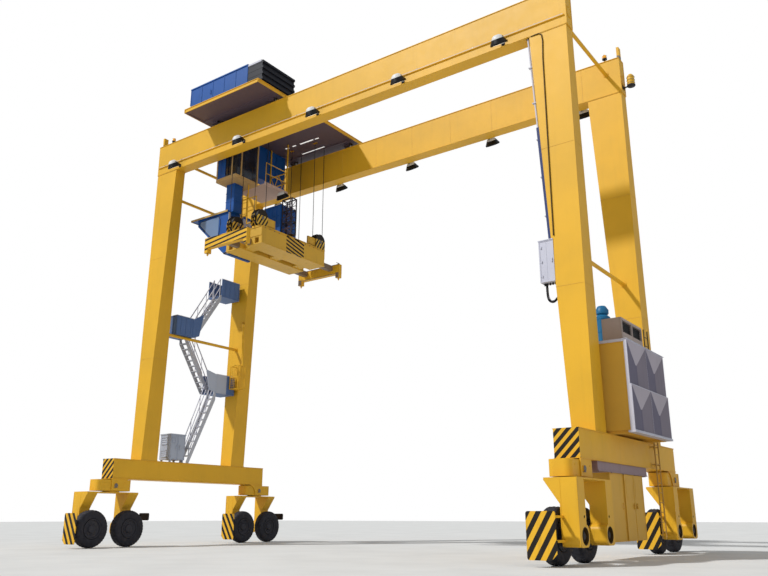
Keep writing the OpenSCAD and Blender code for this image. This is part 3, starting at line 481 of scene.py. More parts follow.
def lamp_lens(name, colour, glow):
    """A lit lens: the colour under gloss, with a low glow that follows a fine ribbing."""
    r = Recipe(name)
    ribs = r.noise(25.0, 1.0)
    r.put(r.shader.inputs["Base Color"], r.blend(ribs, linear(colour), linear(np.asarray(colour) * 0.85)))
    r.shader.inputs["Roughness"].default_value = 0.15
    r.put(r.shader.inputs["Emission Color"], r.blend(ribs, linear(colour), linear(np.asarray(colour) * 0.9)))
    r.shader.inputs["Emission Strength"].default_value = glow
    return r.mat


def rope_wire():
    """Laid steel rope: slanted strands from the height and the angle, dark and greasy."""
    r = Recipe("wire rope")
    lay = r.stripes((6.0, 6.0, 1.0), 0.07)
    r.put(r.shader.inputs["Base Color"], r.blend(lay, linear((0.12, 0.12, 0.13)), linear((0.22, 0.21, 0.21))))
    r.shader.inputs["Roughness"].default_value = 0.5
    r.shader.inputs["Metallic"].default_value = 0.6
    r.bump(lay, 0.4, 0.003)
    return r.mat


def grating():
    """Walking grate: a square net of openings painted dark as shade between bright bars, by the fractions of X and Y.
    """
    r = Recipe("floor grating with painted shade")
    cells = None
    for k in (0, 1):
        bar = r.math("GREATER_THAN", r.math("FRACT", r.math("MULTIPLY", r.math("ADD", r.axis(k), 50.0), 22.0)), 0.3)
        cells = bar if cells is None else r.math("MULTIPLY", cells, bar)
    # painted shade: the grate's openings are painted dark instead of being holes
    r.put(r.shader.inputs["Base Color"], r.blend(cells, linear((0.72, 0.66, 0.58)), linear((0.30, 0.28, 0.27))))
    r.shader.inputs["Roughness"].default_value = 0.6
    r.bump(cells, 0.5, 0.004)
    return r.mat


def band(axis, low, high, colour):
    """A painted mark without stripes: all that lies between two places along an axis."""
    return ((axis, low, high),), None, 1.0, 0.5, colour


def both_ends(y, limit):
    """Limits of a mark past a Y at the near end and past it at the far end."""
    return ((1, None, -y), limit), ((1, y, None), limit)


# finish: material, colour, roughness, share of grime, colour of the grime
PAINTS = {
    "yellow": ("yellow paint", YELLOW, 0.42, 0.06),
    # painted shade: yellow darkened for shade on the generator house, drive cabinet, cabinet doors, ladder fittings
    # and weld beads
    "shade_yellow": ("weathered yellow paint", (0.86, 0.67, 0.25), 0.5, 0.10),
    "sill_yellow": ("sill paint", YELLOW, 0.42, 0.06),
    "end_beam": ("end beam paint", YELLOW),
    "frame_yellow": ("spreader paint", (0.85, 0.67, 0.23)),
    "sheave_guard": ("striped guard paint", (0.13, 0.11, 0.09)),
    "arm_yellow": ("arm paint", YELLOW),
    "walkway": ("walkway paint", YELLOW),
    "deck": ("deck paint", YELLOW, 0.45, 0.1),
    "end_lamp": ("end lamp paint", (0.90, 0.70, 0.20), 0.4, 0.2),
    "tan": ("cabin post paint", (0.76, 0.62, 0.40), 0.5, 0.2),
    "roof_tan": ("cab roof paint", (0.74, 0.62, 0.38), 0.5, 0.25),
    "walk_pink": ("walkway edge paint", (0.80, 0.69, 0.64), 0.5, 0.2),
    # painted shade: the ladder's brownish yellow stands for yellow paint in shade
    "ladder": ("ladder paint", (0.72, 0.55, 0.27), 0.55, 0.3),
    # dark brown: painted shade inside the arms' openings; the leg cable also takes this colour
    "opening": ("opening edge paint", (0.30, 0.22, 0.08), 0.6, 0.3),
    "black": ("black lamp paint", (0.05, 0.05, 0.055), 0.35, 0.12),
    "tray": ("tray paint", (0.60, 0.52, 0.54), 0.55, 0.2, (0.36, 0.30, 0.32)),
    "white": ("white paint", (0.88, 0.88, 0.87), 0.4, 0.1, (0.5, 0.5, 0.5)),
    "pale_grey": ("pale grey paint", (0.78, 0.78, 0.83), 0.45, 0.18, PALE_DIRT),
    "cabinet": ("cabinet paint", (0.70, 0.73, 0.79), 0.45, 0.12, GREY_DIRT),
    "stair_steel": ("stair paint", (0.74, 0.75, 0.78), 0.45, 0.15, GREY_DIRT),
    "vent_paint": ("vent box paint", (0.70, 0.64, 0.61), 0.5, 0.15, (0.4, 0.36, 0.34)),
    "grey": ("grey paint", GREY, 0.48, 0.22, (0.33, 0.31, 0.33)),
    "hood_grey": ("hood paint", (0.50, 0.47, 0.52), 0.55, 0.25, (0.30, 0.27, 0.30)),
    # painted light: the hoods' left walls are painted darker as shade and their tops paler as a highlight, lit and
    # shaded copies of the hood grey
    "hood_left": ("hood left paint", (0.40, 0.38, 0.46), 0.55, 0.15, (0.25, 0.23, 0.28)),
    "hood_top": ("hood top paint", (0.70, 0.67, 0.71), 0.55, 0.15, (0.45, 0.42, 0.46)),
    "blue": ("machinery blue paint", BLUE, 0.38, 0.22, BLUE_DIRT),
    "tub_blue": ("cable tub paint", BLUE, 0.4, 0.2, BLUE_DIRT),
    "silencer": ("silencer paint", (0.12, 0.42, 0.60), 0.4, 0.15, BLUE_DIRT),
    "stair_blue": ("balustrade blue paint", (0.34, 0.45, 0.64), 0.5, 0.2, (0.22, 0.25, 0.32)),
    "tray_blue": ("cable tray paint", (0.16, 0.22, 0.42), 0.5, 0.2, (0.10, 0.13, 0.22)),
    "pane": ("glass with painted sky reflection", (0.46, 0.55, 0.68), 0.12, 0.05, (0.3, 0.3, 0.3)),
    "underside": ("underside paint", (0.32, 0.27, 0.33), 0.6, 0.3, (0.16, 0.13, 0.16)),
    "cooler": ("cooler paint", (0.075, 0.085, 0.13), 0.45, 0.1, (0.2, 0.2, 0.2)),
    "dark": ("dark paint", (0.13, 0.13, 0.15), 0.5, 0.3, (0.25, 0.23, 0.21)),
    "rim": ("rim paint", (0.22, 0.22, 0.25), 0.55, 0.35, (0.34, 0.32, 0.30)),
    # near black: painted shade of the wheel drives sitting in the arms' recesses
    "drive": ("wheel drive paint", (0.17, 0.14, 0.12), 0.5, 0.3),
    "rails": ("rail paint", (0.45, 0.43, 0.41), 0.45, 0.3),
}

# finish: marks as (limits, direction of the stripes, width, share, colour); some are painted shade, noted at each
SILL_ENDS = both_ends(SILL[1][1] - 0.001, (2, SILL[0][2] + 0.46, None))
BEAM_ENDS = both_ends(3.027, (0, SPREAD_X - 1.21, SPREAD_X + 1.21))
SPREADER_SIDE = ((0, SPREAD[1][0] - 0.002, None), (1, -0.52, 0.62))
MARKS = {
    "sill_yellow": [(end, (-1.0, 0, 1.0), 0.27, 0.54, BLACK) for end in SILL_ENDS],
    # painted shade: the grey-brown band on the beams between the ends, |Y| under 2.82; the black stripes at the ends
    # are paint
    "end_beam": [(end, (-0.12, 0.0, 1.0), 0.20, 0.38, BLACK) for end in BEAM_ENDS]
         + [band(1, -2.82, 2.82, (0.50, 0.43, 0.36))],
    "frame_yellow": [(SPREADER_SIDE, (0, 0.26, 1.0), 0.17, 0.5, BLACK)],
    "sheave_guard": [(((2, None, SPREAD[1][2] + 0.50),), (0, -1.7, 1.0), 0.30, 0.5, (0.86, 0.70, 0.26))],
    # painted shade: the ladder above 6 m is painted darker still
    "ladder": [band(2, 6.0, None, (0.30, 0.24, 0.13))],
    "tub_blue": [band(0, SPREAD_X + 0.441, None, (0.19, 0.17, 0.20))],
    "walkway": [band(2, DECK[0][2] - 2.52, DECK[0][2] - 2.385, (0.80, 0.69, 0.64))],
    # painted shade: the deck below 0.14 m under its top, sides and underside, is painted plum grey for the shade under
    # the deck
    "deck": [band(2, None, DECK[1][2] - 0.14, (0.37, 0.31, 0.345))],
    "rails": [band(2, G_TOP + 0.16, None, YELLOW)],
}
SPECIAL = {
    "rubber": rubber, "glass": window_glass, "rope": rope_wire, "grating": grating, "steel": steel,
    "orange": lambda: lamp_lens("amber lens", (0.97, 0.68, 0.18), 0.25),
    "lens": lambda: lamp_lens("flood lens", (0.97, 0.97, 0.95), 0.75),
    # painted light: the deck slots glow, though they are no lamps
    "slot_white": lambda: lamp_lens("painted glow slot", (0.95, 0.95, 0.95), 0.7),
}
CAD_FINISH = {node: finish for finish, nodes in {
    "yellow": "near_girder far_girder near_left_leg near_right_leg far_left_leg far_right_leg tie_pipes leg_basket",
    "shade_yellow": "generator_house drive_cabinet near_cabinet_door far_cabinet_door",
    "sill_yellow": "left_sill right_sill", "end_beam": "near_spreader_end far_spreader_end",
    "frame_yellow": "headblock spreader_frame", "deck": "trolley_deck", "walkway": "trolley_walkway",
    "rails": "trolley_rails", "steel": "trolley_wheels", "grey": "hoist_drum", "pale_grey": "leg_junction_box",
    "hood_grey": "cooling_hoods", "vent_paint": "vent_box", "silencer": "exhaust_drum", "tray": "sill_tray",
    "ladder": "boarding_ladder", "cabinet": "left_cabinet", "stair_steel": "stair_flights",
    "stair_blue": "stair_landings", "blue": "machinery_housing switchgear_box operator_cab",
    "cooler": "radiator_box", "glass": "electrical_cabin cab_glass", "tub_blue": "cable_basket",
    "dark": "floodlights headblock_sheaves", "orange": "beacons", "rope": "hoist_ropes",
}.items() for node in nodes.split()}
for side in SIDES:
    saddle = low_high(side + "_saddle")
    pivot_y = (saddle[0][1] + saddle[1][1]) / 2
    lean = -1.63 if "right" in side else 1.63
    PAINTS["bogie_" + side] = (f"bogie {side} paint".replace("_", " "), YELLOW)
    MARKS["bogie_" + side] = [(((1, pivot_y - 1.75, pivot_y - 1.60),), (lean, 0.0, 1.0), 0.48, 0.5, BLACK),
                              band(1, pivot_y + 1.60, pivot_y + 1.75, (0.16, 0.13, 0.12))]
    CAD_FINISH[side + "_saddle"] = "yellow"
    CAD_FINISH[side + "_bogie"] = "bogie_" + side
    for letter in "ab":
        CAD_FINISH[side + "_wheel_" + letter] = "rubber"
FINISHES = {}


def finish_of(name):
    """Makes each finish once, by name."""
    if name not in FINISHES:
        paint = PAINTS.get(name)
        FINISHES[name] = painted(*paint, marks=MARKS.get(name, ())) if paint else SPECIAL[name]()
    return FINISHES[name]


class StageSettings(PropertyGroup):
    """Camera and light of the set."""
    lens: FloatProperty(name="Lens", description="Focal length of the camera", default=36.46, unit="CAMERA")
    camera_at: FloatVectorProperty(name="Camera place", description="Where the camera stands", size=3,
                                   subtype="TRANSLATION",
                                   default=(17.697 + MID, -23.548, 1.152))
    camera_turn: FloatVectorProperty(name="Camera turn", description="How the camera is turned", size=3,
                                     subtype="EULER",
                                     default=(math.radians(106.375), 0.0, math.radians(35.58)))
    sun: FloatProperty(name="Key light", description="Strength of the key light", default=2.75, min=0.0)
    sky: FloatProperty(name="Fill light", description="Strength of the light from all round", default=0.43, min=0.0)


class WheelSettings(PropertyGroup):
    """Sizes of the tyres and rims."""
    tread_blocks: IntProperty(name="Tread blocks", description="Lugs round a tyre", default=36, min=12)
    groove: FloatProperty(name="Groove depth", description="Depth of the tread", default=0.022, unit="LENGTH")
    nuts: IntProperty(name="Wheel nuts", description="Nuts round a rim", default=12, min=4)


class ORTG_OT_paint(Operator):
    """Gives every node of the frame its finish"""
    bl_idname = "yard_crane.paint"
    bl_label = "Paint the Frame"

    def execute(self, context):
        for name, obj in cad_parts.items():
            obj.data.materials.clear()
            obj.data.materials.append(finish_of(CAD_FINISH[name]))
        return {"FINISHED"}


def tyre(centre_x, y, z, radius, width, rim, blocks_round, groove):
    """A tyre: a squared ring whose section is a superellipse; the crown sinks at slanted cross grooves and two round grooves."""
    a = np.linspace(0, 2 * np.pi, blocks_round * 6, endpoint=False)[:, None]
    v = np.linspace(0, 2 * np.pi, 44, endpoint=False)[None, :]
    power = lambda c, e: np.sign(c) * np.abs(c) ** e
    across = width / 2 * power(np.cos(v), 0.55)
    high = (radius - rim) / 2 * power(np.sin(v), 0.62)
    mid = (radius + rim) / 2
    crown = np.clip((np.sin(v) - 0.55) / 0.25, 0, 1)
    wave = np.mod(a * blocks_round / (2 * np.pi) + np.abs(across) / width * 0.9 + np.where(across > 0, 0.5, 0.0), 1.0)
    cut = np.maximum((wave < 0.34) * (np.abs(across) > width * 0.06),
                     (np.abs(np.abs(across) - width * 0.19) < width * 0.022) * 1.0)
    r = mid + high - groove * crown * cut
    wall = 0.006 * np.exp(-((r - rim - 0.06) / 0.012) ** 2) * np.sign(across) * (np.abs(across) > width * 0.3)
    pts = np.stack(np.broadcast_arrays(centre_x + across + wall - np.sign(across) * 0.006, y + r * np.cos(a),
                                       z + r * np.sin(a)), -1)
    return grid(pts, round_u=True, round_v=True)


class ORTG_OT_wheels(Operator):
    """Tyres, rims, nuts and hub caps in place of the eight plain wheels"""
    bl_idname = "yard_crane.wheels"
    bl_label = "Wheels"

    def execute(self, context):
        s = context.scene.crane_wheels
        rim = [(0.035, 0.345), (0.03, 0.362), (0.02, 0.362), (0.018, 0.335), (0.05, 0.322), (0.085, 0.312),
               (0.115, 0.27), (0.118, 0.165), (0.09, 0.14), (0.06, 0.135), (0.052, 0.12), (0.05, 0.05),
               (0.046, 0.045), (0.046, 0.0005)]
        back = [(0.365, 0.345), (0.38, 0.36), (0.385, 0.335), (0.36, 0.30), (0.36, 0.155), (0.482, 0.15),
                (0.484, 0.11), (0.664, 0.109), (0.664, 0.15), (0.704, 0.149), (0.715, 0.12), (0.74, 0.115),
                (0.74, 0.0005)]
        for node in [f"{side}_wheel_{letter}" for side in SIDES for letter in "ab"]:
            d = signs(node)[0]
            lo, hi = low_high(node)
            y, z, radius = (lo[1] + hi[1]) / 2, (lo[2] + hi[2]) / 2, (hi[2] - lo[2]) / 2
            inner = lo[0] if d > 0 else hi[0]
            shape = tyre(inner + d * 0.2, y, z, radius, 0.4, 0.345, s.tread_blocks, s.groove)
            piece(node + "_tyre", shape, "rubber", node, smooth=50, stands_for=(node,))
            parts = [lathe(rim[::-1] + back, (inner, y, z), 0, 48, d)]
            for depth, ring, count, size, tall, way in (
                    (0.117, 0.215, s.nuts, 0.017, 0.032, -d), (0.704, 0.132, 10, 0.011, 0.014, d),
                    (0.052, 0.085, 8, 0.011, 0.012, -d)):
                parts.append(bolts(circle_of((inner + d * depth, y, z), 0, ring, count), 0, size, tall, way))
            piece(node + "_rim", merge(parts), "rim", node, smooth=35)
        return {"FINISHED"}


class SteelSettings(PropertyGroup):
    """Sizes of the portal's plate work."""
    lip: FloatProperty(name="Flange lip", description="How far the flange plates stand out from the webs",
                       default=0.022, unit="LENGTH")
    bay: FloatProperty(name="Web bay", description="Distance between the weld lines of two inner walls", default=1.95,
                       unit="LENGTH")
    clip: FloatProperty(name="Clip pitch", description="Distance between cable clips", default=1.15, unit="LENGTH")


class PanelSettings(PropertyGroup):
    """Sizes of the sheet-metal housings."""
    slat: FloatProperty(name="Slat pitch", description="Height from one louvre slat to the next", default=0.075,
                        unit="LENGTH")
    roof_lip: FloatProperty(name="Roof lip", description="How far the roofs stand out", default=0.03, unit="LENGTH")


class ORTG_OT_portal_steel(Operator):
    """Flange lips, weld beads, end covers and hatches of the girders, legs and sills"""
    bl_idname = "yard_crane.portal_steel"
    bl_label = "Portal Steel"

    def execute(self, context):
        s = context.scene.crane_steel
        x0, x1 = MID - G_HALF, MID + G_HALF
        bays = np.arange(x0 + 0.95, x1 - 0.5, s.bay)
        for name, sy in NEAR_FAR:
            for tag, at, sign in (("outer", sy * G_OUT, sy), ("inner", sy * G_IN, -sy)):
                lips = [(x0, x1, z, z + 0.024, 0, s.lip) for z in (G_LOW, G_TOP - 0.024)]
                piece(f"{name}_girder_{tag}_lips", on_face(1, at, sign, lips), "yellow", "portal", 0.003)
            beads = bars(bays, 0.006, G_LOW + 0.024, G_TOP - 0.024, 0.004)
            piece(f"{name}_girder_inner_welds", on_face(1, sy * G_IN, -sy, beads), "shade_yellow", "portal")
            for sx in (-1, 1):
                at, y = MID + sx * G_HALF, sy * (G_IN + G_OUT) / 2
                cover = lathe([(0, 0.2), (0.014, 0.2), (0.016, 0.19), (0.016, 0.0005)], (at, y, G_LOW + 0.55), 0, 36,
                              sx)
                edge = on_face(0, at, sx, border(y - 0.245, y + 0.245, G_LOW, G_TOP, 0.03, 0.012))
                nuts = bolts(circle_of((at + sx * 0.015, y, G_LOW + 0.55), 0, 0.165, 12), 0, 0.013, 0.012, sx)
                piece(f"{name}_girder_end_{'right' if sx > 0 else 'left'}", merge([cover, edge, nuts]), "yellow",
                      "portal", 0.003)
        outer = LEG[1][0] - MID
        for side in SIDES:
            sx, sy = signs(side)
            rings = []
            for z, thick, t in ((G_LOW - 0.02, 0.02, 0.014), (12.1, 0.01, 0.006), (7.6, 0.01, 0.006),
                                (LEG[0][2] + 0.002, 0.018, 0.014)):
                (inner, out_y), in_y = leg_side(z), leg_gap(z)
                for xa, ya, xb, yb in ((inner - t, in_y - t, outer + t, in_y),
                                       (inner - t, out_y, outer + t, out_y + t),
                                       (inner - t, in_y, inner, out_y), (outer, in_y, outer + t, out_y)):
                    rings.append([(xa, ya, z), (xb, yb, z + thick)])
            r = np.asarray(rings)
            r[..., 0] = MID + sx * r[..., 0]
            r[..., 1] *= sy
            piece(side + "_leg_welds", blocks(np.sort(r, axis=1)), "shade_yellow", "portal", 0.002)
        for sx, name in ((-1, "left_sill"), (1, "right_sill")):
            lo, hi = low_high(name)
            foot = hi[2] - 0.786
            for tag, way in (("lane", -sx), ("outer", sx)):
                rows = [(lo[1], hi[1], z, z + 0.024, 0, s.lip) for z in (hi[2] - 0.024, foot)]
                shape = on_face(0, MID + sx * SILL_X + way * 0.3525, way, rows)
                piece(f"{name}_{tag}_lips", shape, "sill_yellow", "portal", 0.003)
            for tag, sy in NEAR_FAR:
                u = MID + sx * SILL_X
                rows = border(u - 0.352, u + 0.352, foot, hi[2], 0.022, 0.010, -0.009)
                piece(f"{name}_cap_{tag}", on_face(1, sy * (hi[1] - 0.002), sy, rows), "sill_yellow", "portal")
        collar = [(0, 0.11), (0.02, 0.11), (0.022, 0.072), (0.06, 0.068)]
        rings = []
        for sx, heights in ((-1, (8.8277, 17.1, 15.2)), (1, (8.8277, 17.1))):
            x = MID + sx * (SILL_X - 0.19)
            for z in heights:
                y = G_IN if z > G_LOW else leg_gap(z)
                for sy in (-1, 1):
                    rings += [lathe(collar, (x, sy * y, z), 1, 28, -sy),
                              bolts(circle_of((x, sy * (y - 0.02), z), 1, 0.092, 8), 1, 0.009, 0.01, -sy)]
        piece("tie_flanges", merge(rings), "yellow", "portal", smooth=35)
        clips, x = [], np.arange(x0 + 0.3, x1 - 0.3, 0.62)
        for y in [sy * (G_IN + G_OUT) / 2 for sy in (-1, 1)]:
            for side in (-1, 1):
                clip = blocks([(-0.05, -0.028, 0.0), (0.05, 0.028, 0.035)])
                clips.append(copies(clip, along_x(x, y + side * 0.112, G_TOP)))
                clips.append(bolts(along_x(x, y + side * 0.118, G_TOP + 0.035), 2, 0.015, 0.02))
        piece("rail_clips", merge(clips), "steel", "portal")
        return {"FINISHED"}


class ORTG_OT_cables(Operator):
    """Conduits with clips on the girder ledges, the dark cable down the near right leg and its blue tray"""
    bl_idname = "yard_crane.cables"
    bl_label = "Cables"

    def execute(self, context):
        s = context.scene.crane_steel
        x0, x1 = MID - G_HALF + 0.1, MID + G_HALF - 0.1
        ledge, pipe = G_LOW + 0.358, 0.017
        for name, sy in NEAR_FAR:
            y = sy * (G_OUT + 0.018)
            conduit = sweep([(x0, y, ledge + pipe), (x1, y, ledge + pipe)], pipe, 12)
            saddle = blocks([(-0.02, -0.02, 0.0), (0.02, 0.02, 0.045)])
            saddles = copies(saddle, along_x(np.arange(x0 + 0.4, x1, s.clip), y, ledge))
            piece(name + "_conduit", conduit, "pale_grey", "portal", smooth=40)
            piece(name + "_conduit_clips", saddles, "steel", "portal", 0.004)
        low = 9.2
        path = [(MID + 8.55, -G_OUT + 0.1, G_LOW - 0.012), (MID + 8.78, -G_OUT - 0.004, G_LOW - 0.02)]
        for z in np.linspace(G_LOW - 0.1, low, 9):
            lane_x, outer_y = leg_side(z)
            path.append((lane_x + 0.10 + 0.34 * (z - low) / (G_LOW - low) + MID, -outer_y - 0.018, z))
        piece("leg_cable", sweep(bend(path, 3), 0.020, 8), "opening", "portal", smooth=50)
        a, b = leg_side(9.1)[0] + MID, leg_side(12.9)[0] + MID
        tray = plate([(a - 0.10, 9.1), (a - 0.004, 9.1), (b - 0.004, 12.9), (b - 0.10, 12.9)], 1, -2.80, -2.70)
        piece("leg_cable_tray", tray, "tray_blue", "portal", 0.004)
        brackets = []
        for z in (9.9, 11.2, 12.5, 13.8, 15.1):
            bx = leg_side(z)[0] + MID
            brackets.append([(bx - 0.16, -2.76, z), (bx + 0.01, -2.64, z + 0.03)])
        piece("conduit_brackets", blocks(brackets), "pale_grey", "portal", 0.003)
        return {"FINISHED"}


class ORTG_OT_lamps(Operator):
    """Floodlights with fins, frames and lit lenses, the two beacons and the end lamp, in place of the plain ones"""
    bl_idname = "yard_crane.lamps"
    bl_label = "Lamps"

    def execute(self, context):
        body = merge([lathe([(-0.142, 0.262), (-0.145, 0.30), (-0.085, 0.302), (-0.08, 0.285), (0.03, 0.225),
                             (0.05, 0.212), (0.051, 0.0005)], (0, 0, 0), 2, 36),
                      copies(blocks([(-0.003, -0.30, -0.06), (0.003, -0.275, -0.02)]),
                             [(x, 0.0, 0) for x in (-0.05, 0, 0.05)])])
        cap = lathe([(0.045, 0.214), (0.12, 0.172), (0.15, 0.135), (0.176, 0.09), (0.182, 0.0005)], (0, 0, 0), 2, 36)
        lens = lathe([(-0.141, 0.0005), (-0.146, 0.15), (-0.141, 0.262), (-0.13, 0.262), (-0.13, 0.0005)], (0, 0, 0),
                     2, 36, 1)
        ears = merge([blocks([[(sx * 0.20 - 0.006, -0.025, -0.02), (sx * 0.20 + 0.006, 0.025, 0.09)]
                              for sx in (-1, 1)]),
                      bolts([(0.206, 0, 0.03)], 0, 0.02, 0.014), bolts([(-0.206, 0, 0.03)], 0, 0.02, 0.014, -1)])
        mount = merge([blocks([(-0.06, -0.38, -0.02), (0.06, -0.36, 0.13)]),
                       blocks([(-0.025, -0.37, 0.018), (0.025, -0.10, 0.052)]),
                       bolts([(x, -0.36, z) for x in (-0.04, 0.04) for z in (0.0, 0.11)], 1, 0.010, 0.01)])
        pitch = (LEG[0][0] - MID - 0.5895) / 2
        z = G_LOW + 0.04
        facing = lambda shape, tilt, sy: turned(turned(shape, 0, tilt, (0, 0, 0)), 2, 0 if sy > 0 else 180, (0, 0, 0))
        rows = [(name, sy, "portal", [(MID + i * pitch + shift, sy * (G_OUT + 0.38), z) for i in range(-2, 3)])
                for name, sy, shift in (("near", -1, -0.35), ("far", 1, 0.10))]
        rows.append(("walkway", -1, "trolley", [(MID - 5.17, 0.42, DECK[0][2] - 2.66)]))
        for name, sy, body_name, spots in rows:
            piece(name + "_flood_bodies", copies(facing(merge([body, ears]), -35, -1), spots), "black", body_name,
                  smooth=35,
                  stands_for=("floodlights",) if name == "near" else ())
            # painted highlight: a white cap on top of each floodlight stands for the light on its dome
            piece(name + "_flood_caps", copies(facing(cap, -35, -1), spots), "white", body_name, smooth=40)
            piece(name + "_flood_lenses", copies(facing(lens, -35, -1), spots), "lens", body_name, smooth=40)
            if name != "walkway":
                piece(name + "_flood_mounts", copies(facing(mount, 0, sy), spots), "dark", body_name, 0.003)
        arm = blocks([[(MID - 5.32, 0.38, DECK[0][2] - 2.56), (MID - 5.14, 0.46, DECK[0][2] - 2.53)],
                      [(MID - 5.20, 0.38, DECK[0][2] - 2.62), (MID - 5.14, 0.46, DECK[0][2] - 2.56)]])
        piece("walkway_flood_arm", arm, "dark", "trolley", 0.003)
        amber = [(0.40, 0.0005), (0.40, 0.078), (0.47, 0.08), (0.52, 0.075), (0.548, 0.05), (0.55, 0.0005)]
        foot = [(0.0, 0.09), (0.015, 0.09), (0.016, 0.03), (0.36, 0.028), (0.361, 0.092), (0.399, 0.09),
                (0.4, 0.0005)]
        for name, x, y in (("near", MID - G_HALF + 0.3895, -1), ("far", MID + G_HALF - 0.6595, 1)):
            at = (x, y * (G_IN + G_OUT) / 2 + 0.2, G_TOP)
            piece(name + "_beacon_post", lathe(foot, at, 2, 28), "dark", "portal", smooth=40, stands_for=("beacons",)
                  if y < 0 else ())
            piece(name + "_beacon_lens", lathe(amber, at, 2, 28), "orange", "portal", smooth=50)
            cage = [sweep(bend([(at[0] + 0.09 * math.cos(a), at[1] + 0.09 * math.sin(a), G_TOP + 0.4),
                                (at[0] + 0.088 * math.cos(a), at[1] + 0.088 * math.sin(a), G_TOP + 0.53),
                                (at[0], at[1], G_TOP + 0.549)], 4), 0.004, 6) for a in np.arange(4) * math.pi / 2]
            piece(name + "_beacon_cage", merge(cage), "steel", "portal", smooth=50)
        x, y, z = MID + G_HALF, (G_IN + G_OUT) / 2, G_TOP - 1.18
        arm = merge([blocks([(x, y - 0.10, z - 0.07), (x + 0.02, y + 0.10, z + 0.07)]),
                     blocks([(x + 0.02, y - 0.03, z - 0.02), (x + 0.31, y + 0.03, z + 0.0)]),
                     plate([(x + 0.02, z - 0.06), (x + 0.2, z - 0.02), (x + 0.02, z - 0.02)], 1, y - 0.008,
                           y + 0.008),
                     lathe([(-0.06, 0.06), (-0.03, 0.15), (0.0, 0.155), (0.012, 0.15), (0.014, 0.0005)],
                           (x + 0.3, y, z), 2, 32)])
        dome = lathe([(0.014, 0.13), (0.06, 0.135), (0.33, 0.132), (0.40, 0.12), (0.455, 0.08), (0.49, 0.03),
                      (0.495, 0.0005)], (x + 0.3, y, z - 0.02), 2, 32)
        piece("end_lamp_bracket", arm, "dark", "portal", smooth=35)
        piece("end_lamp_dome", dome, "end_lamp", "portal", smooth=50)
        hoops = merge([sweep(circle_of((x + 0.3, y, z + h), 2, 0.145, 28), 0.006, 6, ring=True)
                       for h in (0.08, 0.2, 0.32)])
        piece("end_lamp_guard", hoops, "steel", "portal", smooth=50)
        return {"FINISHED"}


